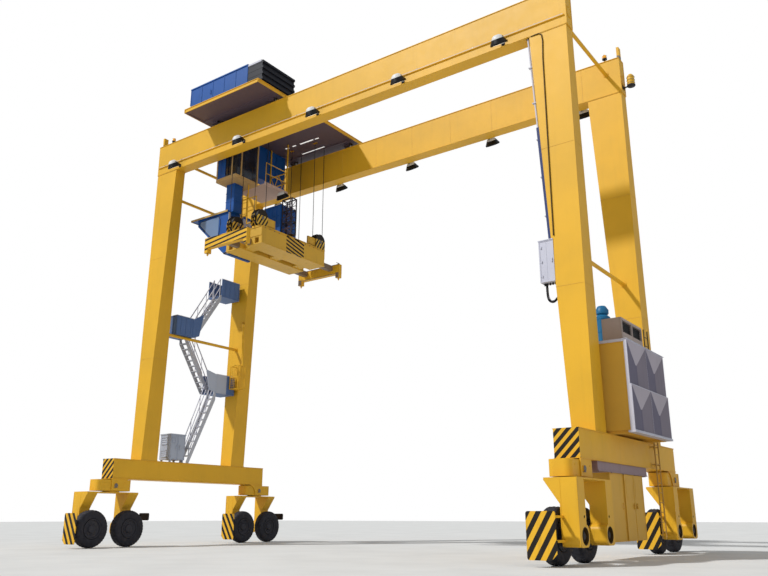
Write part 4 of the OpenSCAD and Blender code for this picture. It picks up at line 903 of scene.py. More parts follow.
class ORTG_OT_right_side(Operator):
    """Junction box, generator house, hoods, vents, silencer and drive cabinet: doors, louvres, frames and roofs"""
    bl_idname = "yard_crane.right_side"
    bl_label = "Right Side"

    def execute(self, context):
        s = context.scene.crane_panels
        x0, x1, y0, y1, z0, z1 = MID + 8.6205, MID + 9.0835, -2.86, -2.50, 7.80, 9.09
        rows = bars([(x0 + x1) / 2], 0.004, z0 + 0.03, z1 - 0.03, 0.006)
        rows += [(x0 + 0.05, x0 + 0.09, z0 + f, z0 + f + 0.07, 0.01, 0.03) for f in (0.15, 0.6, 1.05)]
        box = merge([framed((x0, y0, z0), (x1, y1, z1), "-x -y", 0.03, 0.012), on_face(1, y0, -1, rows),
                     handle(1, y0, -1, x1 - 0.06, 8.45, 0.12),
                     blocks([(x0 - 0.02, y0 - 0.03, z1), (x1, y1 + 0.02, z1 + 0.025)])])
        piece("junction_box_door", box, "pale_grey", "portal", 0.003)
        glands = merge([lathe([(0, 0.03), (-0.03, 0.03), (-0.05, 0.02), (-0.07, 0.018)], (x, -2.7, z0), 2, 16)
                        for x in np.linspace(x0 + 0.06, x1 - 0.06, 5)])
        piece("junction_box_glands", glands, "dark", "portal", smooth=35)
        hose = bend([(x0 + 0.123, -2.7, z0 + 0.0), (x0 + 0.133, -2.7, z0 - 0.38), (x0 + 0.193, -2.7, z0 - 0.54),
                     (x0 + 0.313, -2.7, z0 - 0.58),
                     (x0 + 0.423, -2.7, z0 - 0.50), (x0 + 0.50, -2.7, z0 - 0.41)], 22)
        piece("junction_hose", sweep(hose, 0.037 + 0.005 * np.cos(np.arange(len(hose)) * math.pi), 12), "dark",
              "portal", smooth=60)

        lo, hi = low_high("generator_house")
        floor = lo[2] + 0.077
        piece("generator_roof_trim", blocks([[(lo[0], lo[1] - s.roof_lip, hi[2] - 0.07),
                                              (hi[0], lo[1], hi[2] + 0.01)],
                                             [(lo[0], hi[1], hi[2] - 0.07),
                                              (hi[0], hi[1] + s.roof_lip, hi[2] + 0.01)],
              [(hi[0] - 0.01, lo[1] - s.roof_lip, hi[2]), (hi[0] + 0.12, hi[1] + s.roof_lip, hi[2] + 0.012)]]),
              "pale_grey", "portal", 0.004)
        parts = [on_face(1, lo[1], -1, border(lo[0], hi[0], floor, hi[2] - 0.07, 0.03, 0.006)),
                 on_face(1, hi[1], 1, border(lo[0], hi[0], floor, hi[2], 0.07, 0.02)),
                 louvres(1, hi[1], 1, lo[0] + 0.25, hi[0] - 0.25, floor + 0.4, hi[2] - 0.4, s.slat * 1.3)]
        lane = [border(y, y + 0.98, floor + 0.1, hi[2] - 0.1, 0.03, 0.014) for y in (lo[1] + 0.12, lo[1] + 1.2,
                lo[1] + 2.28)]
        parts += [on_face(0, lo[0], -1, sum(lane, []))] + [louvres(0, lo[0], -1, y + 0.14, y + 0.84, hi[2] - 1.3,
                                                                   hi[2] - 0.35, s.slat)
                                                           for y in (lo[1] + 0.12, lo[1] + 2.28)]
        parts += [handle(0, lo[0], -1, y, floor + 1.2) for y in (lo[1] + 1.0, lo[1] + 2.08, lo[1] + 3.16)]
        eyes = [sweep(circle_of((x, y, hi[2] + 0.05), 1, 0.05, 20), 0.014, 8, ring=True) for x in (lo[0] + 0.1,)
                for y in (lo[1] + 0.15, hi[1] - 0.15)]
        piece("generator_panels", merge(parts), "shade_yellow", "portal", 0.002)
        piece("generator_eyes", merge(eyes), "steel", "portal", smooth=50)

        wall, mid_y = hi[0], (lo[1] + hi[1]) / 2
        half = floor + (hi[2] - floor) / 2
        tops, lefts, rights, edges = [], [], [], []
        for z0, z1, deep in ((floor, half, 0.125), (half, hi[2], 0.085)):
            rim, back = wall + deep, wall + deep - 0.055
            for ya, yb in ((lo[1] + 0.03, mid_y - 0.012), (mid_y + 0.012, hi[1] - 0.03)):
                ym, low, high, ridge = (ya + yb) / 2, z0 + 0.02, z1 - 0.02, z0 + 0.50 * (z1 - z0)
                a, b, c, d = (rim, ya, high), (rim, yb, high), (rim, ya, low), (rim, yb, low)
                e, f, g, h = (back, ym - 0.05, ridge), (back, ym + 0.05, ridge), (back, ym - 0.07, low), (back,
                        ym + 0.07, low)
                tops.append(facet([e, f, b, a], 0.004))
                lefts += [facet([c, g, e, a], 0.004), facet([g, h, f, e], 0.004)]
                rights.append(facet([h, d, b, f], 0.004))
            edges += [[(wall + 0.002, y, z0), (rim + 0.006, y + 0.03, z1)] for y in (lo[1] - 0.004, hi[1] - 0.026)]
            edges += [[(wall + 0.002, mid_y - 0.012, z0), (rim + 0.001, mid_y + 0.012, z1)],
                      [(wall + 0.002, lo[1], z1 - 0.02), (rim + 0.008, hi[1], z1)],
                      [(wall + 0.002, lo[1], z0), (rim + 0.004, hi[1], z0 + 0.02)]]
        edges.append([(wall - 0.06, lo[1] - 0.02, floor - 0.06), (wall + 0.155, hi[1] + 0.02, floor - 0.002)])
        edges.append([(wall, lo[1] + 0.01, floor), (wall + 0.012, hi[1] - 0.01, hi[2] - 0.002)])
        piece("hood_frame", blocks(edges), "pale_grey", "portal", 0.003, stands_for=("cooling_hoods",))
        # painted light: the tops take the pale hood paint as a painted highlight, the left walls the dark one as
        # painted shade
        piece("hood_tops", merge(tops), "hood_top", "portal")
        piece("hood_left_walls", merge(lefts), "hood_left", "portal")
        piece("hood_right_walls", merge(rights), "hood_grey", "portal")

        vlo, vhi = low_high("vent_box")
        slats, dark = [], []
        for y in (vlo[1] + 0.08, vhi[1] - 0.91):
            u0, u1, low, high = y - 0.02, y + 0.85, vlo[2] + 0.40, vhi[2]
            rows = [(u0, u1, low - 0.20, low), (u0, y, low, high - 0.06), (u1 - 0.02, u1, low, high - 0.06),
                    (u0, u1, high - 0.08, high - 0.05)]
            slats.append(on_face(0, vhi[0], 1, [(*row, 0, 0.006) for row in rows]))
            # painted shade: black slats and a black sheet fill each opening for the dark inside of the vent
            dark += [[(vhi[0] - 0.06, y + 0.002, z), (vhi[0] - 0.03, y + 0.828, z + 0.008)]
                     for z in np.arange(vlo[2] + 0.27, vhi[2] - 0.1, 0.06)]
            dark.append([(vhi[0] - 0.07, y + 0.002, vlo[2] + 0.222), (vhi[0] - 0.06, y + 0.828, vhi[2] - 0.082)])
        slats.append(on_face(1, vlo[1], -1, border(vlo[0] + 0.01, vhi[0] - 0.01, vlo[2] + 0.06, vhi[2] - 0.01, 0.02,
                                                   0.006)))
        slats.append(blocks([(vlo[0] + 0.05, vlo[1] - 0.015, vlo[2]), (vhi[0] - 0.05, vlo[1], vlo[2] + 0.03)]))
        piece("vent_panels", merge(slats), "vent_paint", "portal", 0.002)
        piece("vent_slats_and_painted_shade", blocks(dark), "black", "portal")
        drum = low_high("exhaust_drum")
        cx, cy = (drum[0][0] + drum[1][0]) / 2, (drum[0][1] + drum[1][1]) / 2
        bands = [lathe([(z, 0.24), (z + 0.002, 0.249), (z + 0.03, 0.249), (z + 0.032, 0.24)], (cx, cy, drum[0][2]), 2,
                       36) for z in (0.24, 0.6, 1.02)]
        piece("silencer_bands", merge(bands), "silencer", "portal", smooth=30)
        top = drum[1][2]
        outlet = lathe([(-0.06, 0.12), (0.0, 0.20), (0.12, 0.205), (0.24, 0.13), (0.25, 0.12), (0.24, 0.115),
                        (0.16, 0.11), (0.15, 0.0005)], (cx, cy, top), 2, 36)
        piece("silencer_outlet", outlet, "silencer", "portal", smooth=35)

        clo, chi = low_high("drive_cabinet")
        front = MID + 9.8995
        parts = [on_face(0, front, 1, border(clo[1], -0.86, clo[2], chi[2], 0.03, 0.012)),
                 handle(0, front, 1, -1.02, clo[2] + 0.95),
                 on_face(1, clo[1], -1, border(clo[0], front, clo[2], chi[2], 0.04, 0.014)),
                 louvres(1, clo[1], -1, clo[0] + 0.1, front - 0.1, chi[2] - 0.6, chi[2] - 0.2, s.slat),
                 on_face(0, clo[0], -1, sum([border(y, y + 0.84, clo[2] + 0.06, chi[2] - 0.06, 0.025, 0.012)
                                             for y in (clo[1] + 0.06, clo[1] + 0.93, clo[1] + 1.8)], []))]
        piece("drive_cabinet_panels", merge(parts), "shade_yellow", "portal", 0.002)
        for name, near in (("near_cabinet_door", True), ("far_cabinet_door", False)):
            dlo, dhi = low_high(name)
            leaf = MID + 9.9303
            u0, u1 = (dlo[1] + 0.02, dhi[1]) if near else (dlo[1], dhi[1] - 0.02)
            rows = border(u0, u1, dlo[2], dhi[2], 0.025, 0.008) + border(u0 + 0.1, u1 - 0.1, dlo[2] + 1.15,
                                                                         dhi[2] - 0.15, 0.012, 0.005)
            grip = u1 - 0.14 if near else u0 + 0.05
            parts = [on_face(0, leaf, 1, rows + border(grip, grip + 0.09, dlo[2] + 0.86, dlo[2] + 0.98, 0.02, 0.014,
                                                       0.008))]
            piece(name + "_panel", merge(parts), "shade_yellow", name, 0.002)
        tlo, thi = low_high("sill_tray")
        rim = [[(tlo[0] - 0.02, tlo[1], tlo[2]), (tlo[0], thi[1], tlo[2] + 0.03)],
               [(thi[0], tlo[1], tlo[2]), (thi[0] + 0.02, thi[1], tlo[2] + 0.03)]]
        rim += [[(tlo[0], y, tlo[2] - 0.02), (thi[0], y + 0.04, tlo[2])] for y in np.linspace(tlo[1] + 0.1,
                thi[1] - 0.14, 5)]
        piece("sill_tray_rim", blocks(rim), "tray", "portal", 0.003)
        return {"FINISHED"}


class AccessSettings(PropertyGroup):
    """Sizes of the stairs and walkways."""
    rail: FloatProperty(name="Handrail radius", description="Radius of the round handrails", default=0.021,
                        unit="LENGTH")
    mesh: FloatProperty(name="Mesh pitch", description="Distance between the wires of the basket", default=0.11,
                        unit="LENGTH")


class TrolleySettings(PropertyGroup):
    """Sizes of the trolley's plate work."""
    fin: FloatProperty(name="Fin pitch", description="Distance between the cooler's fins", default=0.05,
                       unit="LENGTH")


class SpreaderSettings(PropertyGroup):
    """Sizes of the spreader's fittings."""
    guard: FloatProperty(name="Guard radius", description="Outer radius of the sheave guards", default=0.40,
                         unit="LENGTH")
    bolt: FloatProperty(name="Bolt radius", description="Radius of the spreader's bolt heads", default=0.02,
                        unit="LENGTH")
    rope: FloatProperty(name="Rope radius", description="Radius of the hoist ropes", default=0.013, unit="LENGTH")


class BogieSettings(PropertyGroup):
    """Sizes of the bogies' fittings."""
    ring_bolts: IntProperty(name="Ring bolts", description="Bolts round a slewing ring", default=30, min=8)
    motor: FloatProperty(name="Drive radius", description="Radius of a wheel drive in its opening", default=0.165,
                         unit="LENGTH")


class ORTG_OT_access(Operator):
    """Handrails, kick plates, grating bars and cabinet doors of the stair side, and the basket's wires"""
    bl_idname = "yard_crane.access"
    bl_label = "Access"

    def execute(self, context):
        s = context.scene.crane_access
        llo, lhi = low_high("stair_landings")
        a = MID - 9.7405
        foot = SILL[1][2]
        flights = [(a, -0.56, foot, 0.9, foot + 3.28), (a - 0.46, 0.9, foot + 3.28, -0.65, foot + 5.58),
                   (a, -0.65, foot + 5.58, 0.9, foot + 7.88)]
        rails, treads = [], []
        for x, ya, za, yb, zb in flights:
            run, rise = yb - ya, zb - za
            d = np.sign(run)
            for side in (0.015, 0.435):
                for h in (0.93, 0.5):
                    rails.append(sweep(bend([(x + side, ya + d * 0.12, za + h - 0.03),
                                             (x + side, ya + 0.5 * run, za + rise * 0.5 + h - 0.12),
                                             (x + side, yb - d * 0.1, zb + h - 0.15)], 5), s.rail, 8))
                for f in (0.35, 0.65):
                    rails.append(sweep([(x + side, ya + f * run, za + f * rise - 0.02),
                                        (x + side, ya + f * run, za + f * rise + 0.82)], 0.016, 8))
            n = 9
            t = np.arange(1, n + 1)[:, None] / (n + 1)
            nose = np.concatenate([np.full((n, 1), x), ya + t * run - d * 0.055, za + t * rise], 1)
            treads.append(copies(blocks([(0.014, -0.012, 0.0), (0.436, 0.012, 0.006)]), nose))
        piece("stair_handrails", merge(rails), "pale_grey", "portal", smooth=50)
        piece("stair_nosings", merge(treads), "steel", "portal")
        lows = [(0.9, 2.03, foot + 3.28), (-1.62, -0.65, foot + 5.58), (0.9, 2.03, foot + 7.88)]
        x = lhi[0] - 0.01
        sides = []
        for y, z, reach, lift in ((0.9, foot + 3.22, -0.62, 0.90), (-0.65, foot + 5.52, 0.53, 1.08)):
            end = y + reach
            corners = [(x, y, z), (x, y + reach * 0.66, z + lift * 0.12), (x, end, z + lift),
                       (x, end, z + lift + 0.1), (x, y, z + 0.86)]
            sides.append(facet(corners[::1 if reach > 0 else -1], 0.02))
        corner_plate = blocks([(lhi[0], 0.9, foot + 3.22), (lhi[0] + 0.014, 1.52, foot + 4.08)])
        piece("near_landing_wing", sides[1], "stair_blue", "portal")
        piece("far_landing_wing", merge([sides[0], corner_plate]), "cabinet", "portal")
        ribs, tops = [], []
        for ya, yb, z in lows:
            x0, x1 = llo[0], lhi[0]
            out, near, end = (1, ya, yb) if ya > 0 else (-1, yb, ya)
            for axis, at, sign, u0, u1, posts in ((0, x0, -1, ya, yb, np.arange(ya + 0.25, yb - 0.1, 0.28)),
                                                  (0, x1, 1, ya, yb, np.arange(ya + 0.25, yb - 0.1, 0.28)),
                                                  (1, end, out, x0, x1, np.linspace(x0, x1, 5)[1:-1])):
                rows = border(u0, u1, z - 0.06, z + 0.8, 0.035, 0.012) + bars(posts, 0.012, z, z + 0.76, 0.01)
                ribs.append(on_face(axis, at, sign, rows))
            pts = [(x0 + 0.01, near), (x0 + 0.01, end - out * 0.01), (x1 - 0.01, end - out * 0.01), (x1 - 0.01, near)]
            tops.append(sweep([(*p, z + 0.81) for p in pts], s.rail, 8))
            edge = sorted((near, near + out * 0.03))
            tops.append(blocks([(x0 + 0.02, edge[0], z), (x1 - 0.02, edge[1], z + 0.012)]))
        piece("landing_ribs", merge(ribs), "stair_blue", "portal", 0.002)
        piece("landing_rails", merge(tops), "pale_grey", "portal", smooth=50)
        floors = [[(llo[0] + 0.02, ya + (0 if ya > 0 else 0.02), z), (lhi[0] - 0.01, yb - (0.02 if ya > 0 else 0),
                                                                      z + 0.004)] for ya, yb, z in lows]
        piece("landing_gratings", blocks(floors), "grating", "portal")
        clo, chi = low_high("left_cabinet")
        top = clo[2] + 1.15
        xa, xb, ya, yb = clo[0] + 0.02, chi[0] - 0.02, clo[1] + 0.02, clo[1] + 0.82
        ym, low = (ya + yb) / 2, clo[2] + 0.13
        parts = [door(0, xb, 1, ya + 0.02, ym - 0.004, low, top - 0.02), door(0, xb, 1, ym + 0.004, yb - 0.02, low,
                top - 0.02, False),
                 louvres(1, ya, -1, xa + 0.08, xb - 0.08, top - 0.42, top - 0.1),
                 louvres(1, ya, -1, xa + 0.08, xb - 0.08, clo[2] + 0.2, clo[2] + 0.5),
                 louvres(0, xb, 1, ya + 0.08, ym - 0.12, top - 0.36, top - 0.1),
                 on_face(0, xa, -1, border(ya, yb, clo[2] + 0.11, top, 0.03, 0.012))]
        piece("left_cabinet_doors", merge(parts), "cabinet", "portal", 0.002)
        z0, y0, x0 = foot + 3.477, 1.68, MID - 9.2605
        wires = [[(x0 + u - 0.004, y0 + 0.010, z0 + 0.03), (x0 + u + 0.004, y0 + 0.018, z0 + 1.08)]
                 for u in np.arange(0.06, 0.52, s.mesh)]
        wires += [[(x0 + k, y0 + v - 0.004, z0 + 0.03), (x0 + k + 0.008, y0 + v + 0.004, z0 + 1.08)]
                  for k in (0.01, 0.541) for v in np.arange(0.06, 0.44, s.mesh)]
        wires += [[(x0 + 0.03, y0 + 0.010, z0 + h), (x0 + 0.53, y0 + 0.018, z0 + h + 0.008)]
                  for h in np.arange(0.12, 1.05, s.mesh)]
        piece("basket_wires", blocks(wires), "yellow", "portal")
        ladder = low_high("boarding_ladder")
        xl, yl = MID + SILL_X + 0.3525 + 0.15, ladder[0][1] + 0.022
        caps = [lathe([(0, 0.026), (0.02, 0.028), (0.05, 0.028), (0.052, 0.0005)], (xl, y, ladder[1][2] - 0.05), 2,
                      14) for y in (yl, yl + 0.38)]
        feet = [[(MID + SILL_X + 0.3525, y - 0.05, z - 0.06), (MID + SILL_X + 0.3645, y + 0.05, z + 0.06)]
                for y in (yl, yl + 0.38) for z in (2.707, 3.253)]
        piece("ladder_fittings", merge(caps + [blocks(feet)]), "shade_yellow", "portal", 0.003, smooth=40)
        return {"FINISHED"}


class ORTG_OT_trolley(Operator):
    """Deck edges and slots painted to glow, housing seams, cooler fins, cabin frames, walkway boards and the cab's
    fittings
    """
    bl_idname = "yard_crane.trolley"
    bl_label = "Trolley"

    def execute(self, context):
        s = context.scene.crane_trolley
        bottom = DECK[1][2] - 0.17
        edges = framed((*DECK[0][:2], bottom), DECK[1], "+x -x -y +y", 0.022, 0.025)
        piece("deck_edges", edges, "yellow", "trolley", 0.003)
        # painted light: white glowing slots on the deck's underside, though they are no lamps
        slots = [(MID + a, y, MID + b, w) for a, y, b, w in ((-5.74, 1.12, -5.54, 0.08), (-5.30, 1.12, -5.10, 0.08),
                                                             (-4.85, 1.14, -4.05, 0.08), (-3.95, 1.17, -3.72, 0.06),
                                                             (-5.47, 2.01, -4.08, 0.06), (-4.9, 2.88, -4.5, 0.05))]
        piece("deck_slots", blocks([[(a, y, bottom + 0.019), (b, y + w, bottom + 0.028)] for a, y, b, w in slots]),
              "slot_white", "trolley")
        mlo, mhi = low_high("machinery_housing")
        seams = [on_face(1, mlo[1], -1, [(x - 0.02, x + 0.02, mlo[2] + (0.31 if x < mlo[0] + 0.3 else 0.01),
                                          mhi[2] - 0.01, 0, 0.012) for x in np.linspace(mlo[0] + 0.02, mhi[0] - 0.02,
                6)] +
                         [(mlo[0], mhi[0], mhi[2] - 0.05, mhi[2], 0, 0.03),
                          (mlo[0] + 0.3, mhi[0], mlo[2], mlo[2] + 0.05, 0, 0.02)])]
        seams += [on_face(0, mlo[0], -1, border(mlo[1], mhi[1], mlo[2] + 0.3, mhi[2], 0.04, 0.015)),
                  handle(1, mlo[1], -1, mlo[0] + 1.3, mlo[2] + 0.55, 0.2),
                  on_face(0, mhi[0], 1, border(mlo[1], mhi[1], mlo[2], mhi[2], 0.04, 0.012))]
        piece("machinery_panels", merge(seams), "blue", "trolley", 0.003)
        rlo, rhi = low_high("radiator_box")
        fins = [[(x, rlo[1] + 0.02, rlo[2] + 0.02), (x + 0.006, rhi[1] - 0.02, rhi[2] - 0.03)]
                for x in np.arange(rhi[0] - 0.14, rhi[0] - 0.055, 0.02)]
        fins += [[(rlo[0] + 0.02, y, rlo[2] + 0.03), (rhi[0] - 0.045, y + 0.008, rhi[2] - 0.03)]
                 for y in np.concatenate([np.arange(rlo[1] + 0.006, rlo[1] + 0.055, 0.016),
                                          np.arange(rhi[1] - 0.05, rhi[1] - 0.01, 0.016)])]
        fins += [[(rlo[0] + 0.03, y, rlo[2] + 0.03), (rhi[0] - 0.055, y + 0.008, rhi[2] - 0.03)]
                 for y in np.arange(rlo[1] + 0.1, rhi[1] - 0.1, s.fin)]
        piece("cooler_fins", blocks(fins), "cooler", "trolley")
        elo, ehi = low_high("electrical_cabin")
        frames = []
        for axis, at, sign, u0, u1 in ((1, elo[1] + 0.03, -1, elo[0], ehi[0]), (0, ehi[0] - 0.03, 1, elo[1], ehi[1]),
                                       (0, elo[0] + 0.03, -1, elo[1], ehi[1]), (1, ehi[1] - 0.03, 1, elo[0], ehi[0])):
            us = (MID - 5.98,) if axis == 1 else (-1.62,)
            rows = [(u0, u1, z, z + h, 0, 0.032) for z,
                    h in ((elo[2] + 0.05, 0.10), (ehi[2] - 0.07, 0.05))] + [(u - 0.035, u + 0.035, elo[2] + 0.15,
                    ehi[2] - 0.07, 0, 0.032) for u in us]
            frames.append(on_face(axis, at, sign, rows))
        corners = [(x, y) for x in (elo[0] + 0.03, ehi[0] - 0.03) for y in (elo[1] + 0.03, ehi[1] - 0.03)]
        frames.append(blocks([[(x - 0.033, y - 0.033, elo[2]), (x + 0.033, y + 0.033, ehi[2])] for k,
                              (x, y) in enumerate(corners) if k != 2]))
        frames.append(blocks([(elo[0] - 0.004, elo[1] - 0.004, elo[2] - 0.006),
                              (ehi[0] + 0.004, ehi[1] + 0.004, elo[2] + 0.054)]))
        near_corner = blocks([(corners[2][0] - 0.033, corners[2][1] - 0.033, elo[2] + 0.15),
                              (corners[2][0] + 0.033, corners[2][1] + 0.033, ehi[2])])
        piece("cabin_corner", near_corner, "dark", "trolley", 0.003)
        piece("cabin_frames", merge(frames), "tan", "trolley", 0.003)
        blue_side = [on_face(1, elo[1] + 0.03, -1,
                             [(elo[0] + 0.066, elo[0] + 0.54, elo[2] + 0.15, ehi[2] - 0.07, 0, 0.02),
                              (elo[0] + 0.28, elo[0] + 0.30, elo[2] + 0.15, ehi[2] - 0.07, 0.02, 0.03)]),
                     on_face(0, elo[0] + 0.03, -1,
                             [(elo[1] + 0.07, ehi[1] - 0.07, elo[2] + 0.15, ehi[2] - 0.07, 0, 0.02)]
                             + [(y, y + 0.02, elo[2] + 0.15, ehi[2] - 0.07, 0.02, 0.03)
                                for y in (elo[1] + 0.4, elo[1] + 0.9)])]
        piece("cabin_panels", merge(blue_side), "blue", "trolley", 0.002)
        wlo, whi = low_high("switchgear_box")
        parts = [door(0, whi[0], 1, y, y + 0.6, wlo[2] + 0.06, whi[2] - 0.06) for y in (wlo[1] + 0.03, wlo[1] + 0.65,
                wlo[1] + 1.27)]
        parts.append(framed(wlo, whi, "-y +y", 0.035, 0.014))
        piece("switchgear_doors", merge(parts), "blue", "trolley", 0.002)
        floor = elo[2] + 0.05
        wx0, wx1, wy0, wy1 = DECK[0][0], DECK[0][0] + 1.65, -0.599, 0.9
        walk = [[(wx0, wy1, floor - 0.05), (wx1, wy1 + 0.012, floor + 0.10)],
                [(wx1, wy0, floor - 0.05), (wx1 + 0.012, wy1 + 0.012, floor + 0.10)]]
        walk += [[(wx0 + 0.02, wy0 + 0.02, floor - 0.056), (wx1 - 0.02, wy1 - 0.02, floor - 0.05)]]
        piece("walkway_toe_boards", blocks(walk), "walk_pink", "trolley", 0.002)
        piece("walkway_grating", blocks([(wx0 + 0.01, wy0 + 0.01, floor), (wx1 - 0.01, wy1 - 0.06, floor + 0.006)]),
              "grating", "trolley")
        rails = [sweep([(wx1 - 0.03, wy0 + 0.1, floor + h), (wx1 - 0.03, wy1 - 0.03, floor + h)], 0.018, 8)
                 for h in (0.54, 1.06)]
        rails += [sweep([(wx1 - 0.03, wy0 + 0.1, floor), (wx1 - 0.03, wy0 + 0.1, floor + 1.06)], 0.018, 8)]
        piece("walkway_side_rail", merge(rails), "yellow", "trolley", smooth=50)

        shell = SPREAD_X - 1.519
        cx0, cy0, cy1, roof, cfloor = shell - 1.961, -1.54, -0.10, 14.12, 12.10
        roof_plate = [[(cx0 - 0.42, cy0 - 0.08, roof - 0.075), (DECK[0][0] + 0.491, cy0 - 0.06, roof + 0.012)],
                      [(cx0 - 0.42, cy1 + 0.06, roof - 0.075), (DECK[0][0] + 0.491, cy1 + 0.08, roof + 0.012)],
                      [(cx0 - 0.42, cy0 - 0.06, roof - 0.075), (cx0 - 0.40, cy1 + 0.06, roof + 0.012)],
                      [(cx0 - 0.40, cy0 - 0.06, roof), (DECK[0][0] + 0.19, cy1 + 0.06, roof + 0.008)]]
        piece("cab_roof_plate", blocks(roof_plate), "roof_tan", "trolley", 0.003)
        run = (roof - 0.36 - cfloor) / 1.8
        frames = []
        for at, sign in ((cy0, -1), (cy1, 1)):
            wl = [(cx0 + 0.16, roof - 0.19), (shell - 0.6, roof - 0.19), (shell - 0.6, roof - 1.15),
                  (cx0 + 0.17 + 0.79 / run, roof - 1.15), (cx0 + 0.16, roof - 0.36)]
            loop = np.array([(x, at, z) for x, z in wl])
            frames.append(sweep(bend(np.vstack([loop, loop[:1]]), 5), 0.016, 8))
            frames.append(plate([(cx0 + 1.8, cfloor), (shell, cfloor), (shell, cfloor + 0.07),
                                 (cx0 + 1.74, cfloor + 0.07)], 1, min(at, at + sign * 0.012),
                                max(at, at + sign * 0.012)))
        frames.append(on_face(0, shell, 1, border(cy0 + 0.17, cy1 - 0.67, roof - 1.03, roof - 0.23, 0.03, 0.014)))
        piece("cab_gaskets", merge(frames), "dark", "trolley", smooth=45)
        grey = on_face(0, shell, 1, border(cy1 - 0.58, cy1 - 0.06, cfloor + 0.1, roof - 0.12, 0.025, 0.012)
                       + [(cy1 - 0.57, cy1 - 0.07, cfloor + 0.11, roof - 0.13, 0, 0.006)])
        piece("cab_post", on_face(0, shell, 1, [(cy0, cy0 + 0.11, cfloor + 0.02, roof - 0.08, 0, 0.012)]), "white",
              "trolley", 0.002)
        piece("cooler_trim", on_face(1, rlo[1], -1,
                                     [(rlo[0] + 0.02, rhi[0] - 0.1, rhi[2] - 0.09, rhi[2] - 0.01, 0, 0.012)]),
              "pale_grey", "trolley", 0.002)
        piece("cab_door", merge([grey, handle(0, shell, 1, cy1 - 0.5, cfloor + 0.95, 0.2)]), "pale_grey", "trolley",
              0.002)
        wl = np.array(wl)[::-1]
        # painted reflection: the cab's near window is a pale blue sheet standing for sky reflected in the glass
        piece("cab_side_pane", plate([tuple(q) for q in wl], 1, cy0 - 0.008, cy0 - 0.002), "pane", "trolley")
        xa, xb, wide = MID - 5.93, MID - 5.36, 0.04
        frame_rows = [(*row, 0, wide) for row in (
            (xa, xb, 13.52, 13.56), (xa, xb, 14.70, 14.74), (xa, xa + wide, 13.56, 14.70),
                                                  (xb - wide, xb, 13.56, 14.70),
            (xa + wide, xb - wide, 14.10, 14.14))]
        hang = blocks([[(MID - 5.91, -0.99, 14.74), (MID - 5.87, -0.95, 15.40)],
                       [(MID - 6.30, -1.0, 13.85), (MID - 6.22, -0.94, 14.8)]]
                      + [[(MID - 6.25, -0.99, z), (MID - 5.89, -0.95, z + wide)] for z in (14.70, 13.9)])
        piece("side_frame", merge([on_face(1, -0.95, -1, frame_rows), hang]), "yellow", "trolley", 0.004)
        col = [[(DECK[0][0] + 0.2 - 0.012, -1.492, z), (DECK[0][0] + 0.712, -0.988, z + 0.04)]
               for z in (14.13, 14.55, 14.95, 15.35)]
        piece("column_bands", blocks(col), "blue", "trolley", 0.003)
        for k, (sx, sy) in enumerate([(a, b) for a in (-1, 1) for b in (-1, 1)]):
            at = (MID - 4.75 + sx * 1.7, sy * 2.545, low_high("trolley_wheels")[0][2] + 0.165)
            hub = merge([lathe([(0.0, 0.05), (0.055, 0.05), (0.06, 0.04), (0.0605, 0.0005)],
                               (at[0], at[1] + s2 * 0.045, at[2]), 1, 20, s2) for s2 in (-1, 1)])
            piece(f"trolley_hub_{k}", hub, "steel", "trolley", smooth=40)
        dz, grooves = DECK[1][2] + 0.56, np.arange(-1.25, 1.25, 0.035)
        prof = np.stack([np.repeat(grooves, 2) + np.tile([0, 0.02], len(grooves)),
                         np.tile([0.452, 0.464], len(grooves))], 1)
        piece("drum_grooves", lathe(prof, (SPREAD_X, 0, dz), 1, 48), "steel", "trolley", smooth=40)
        return {"FINISHED"}


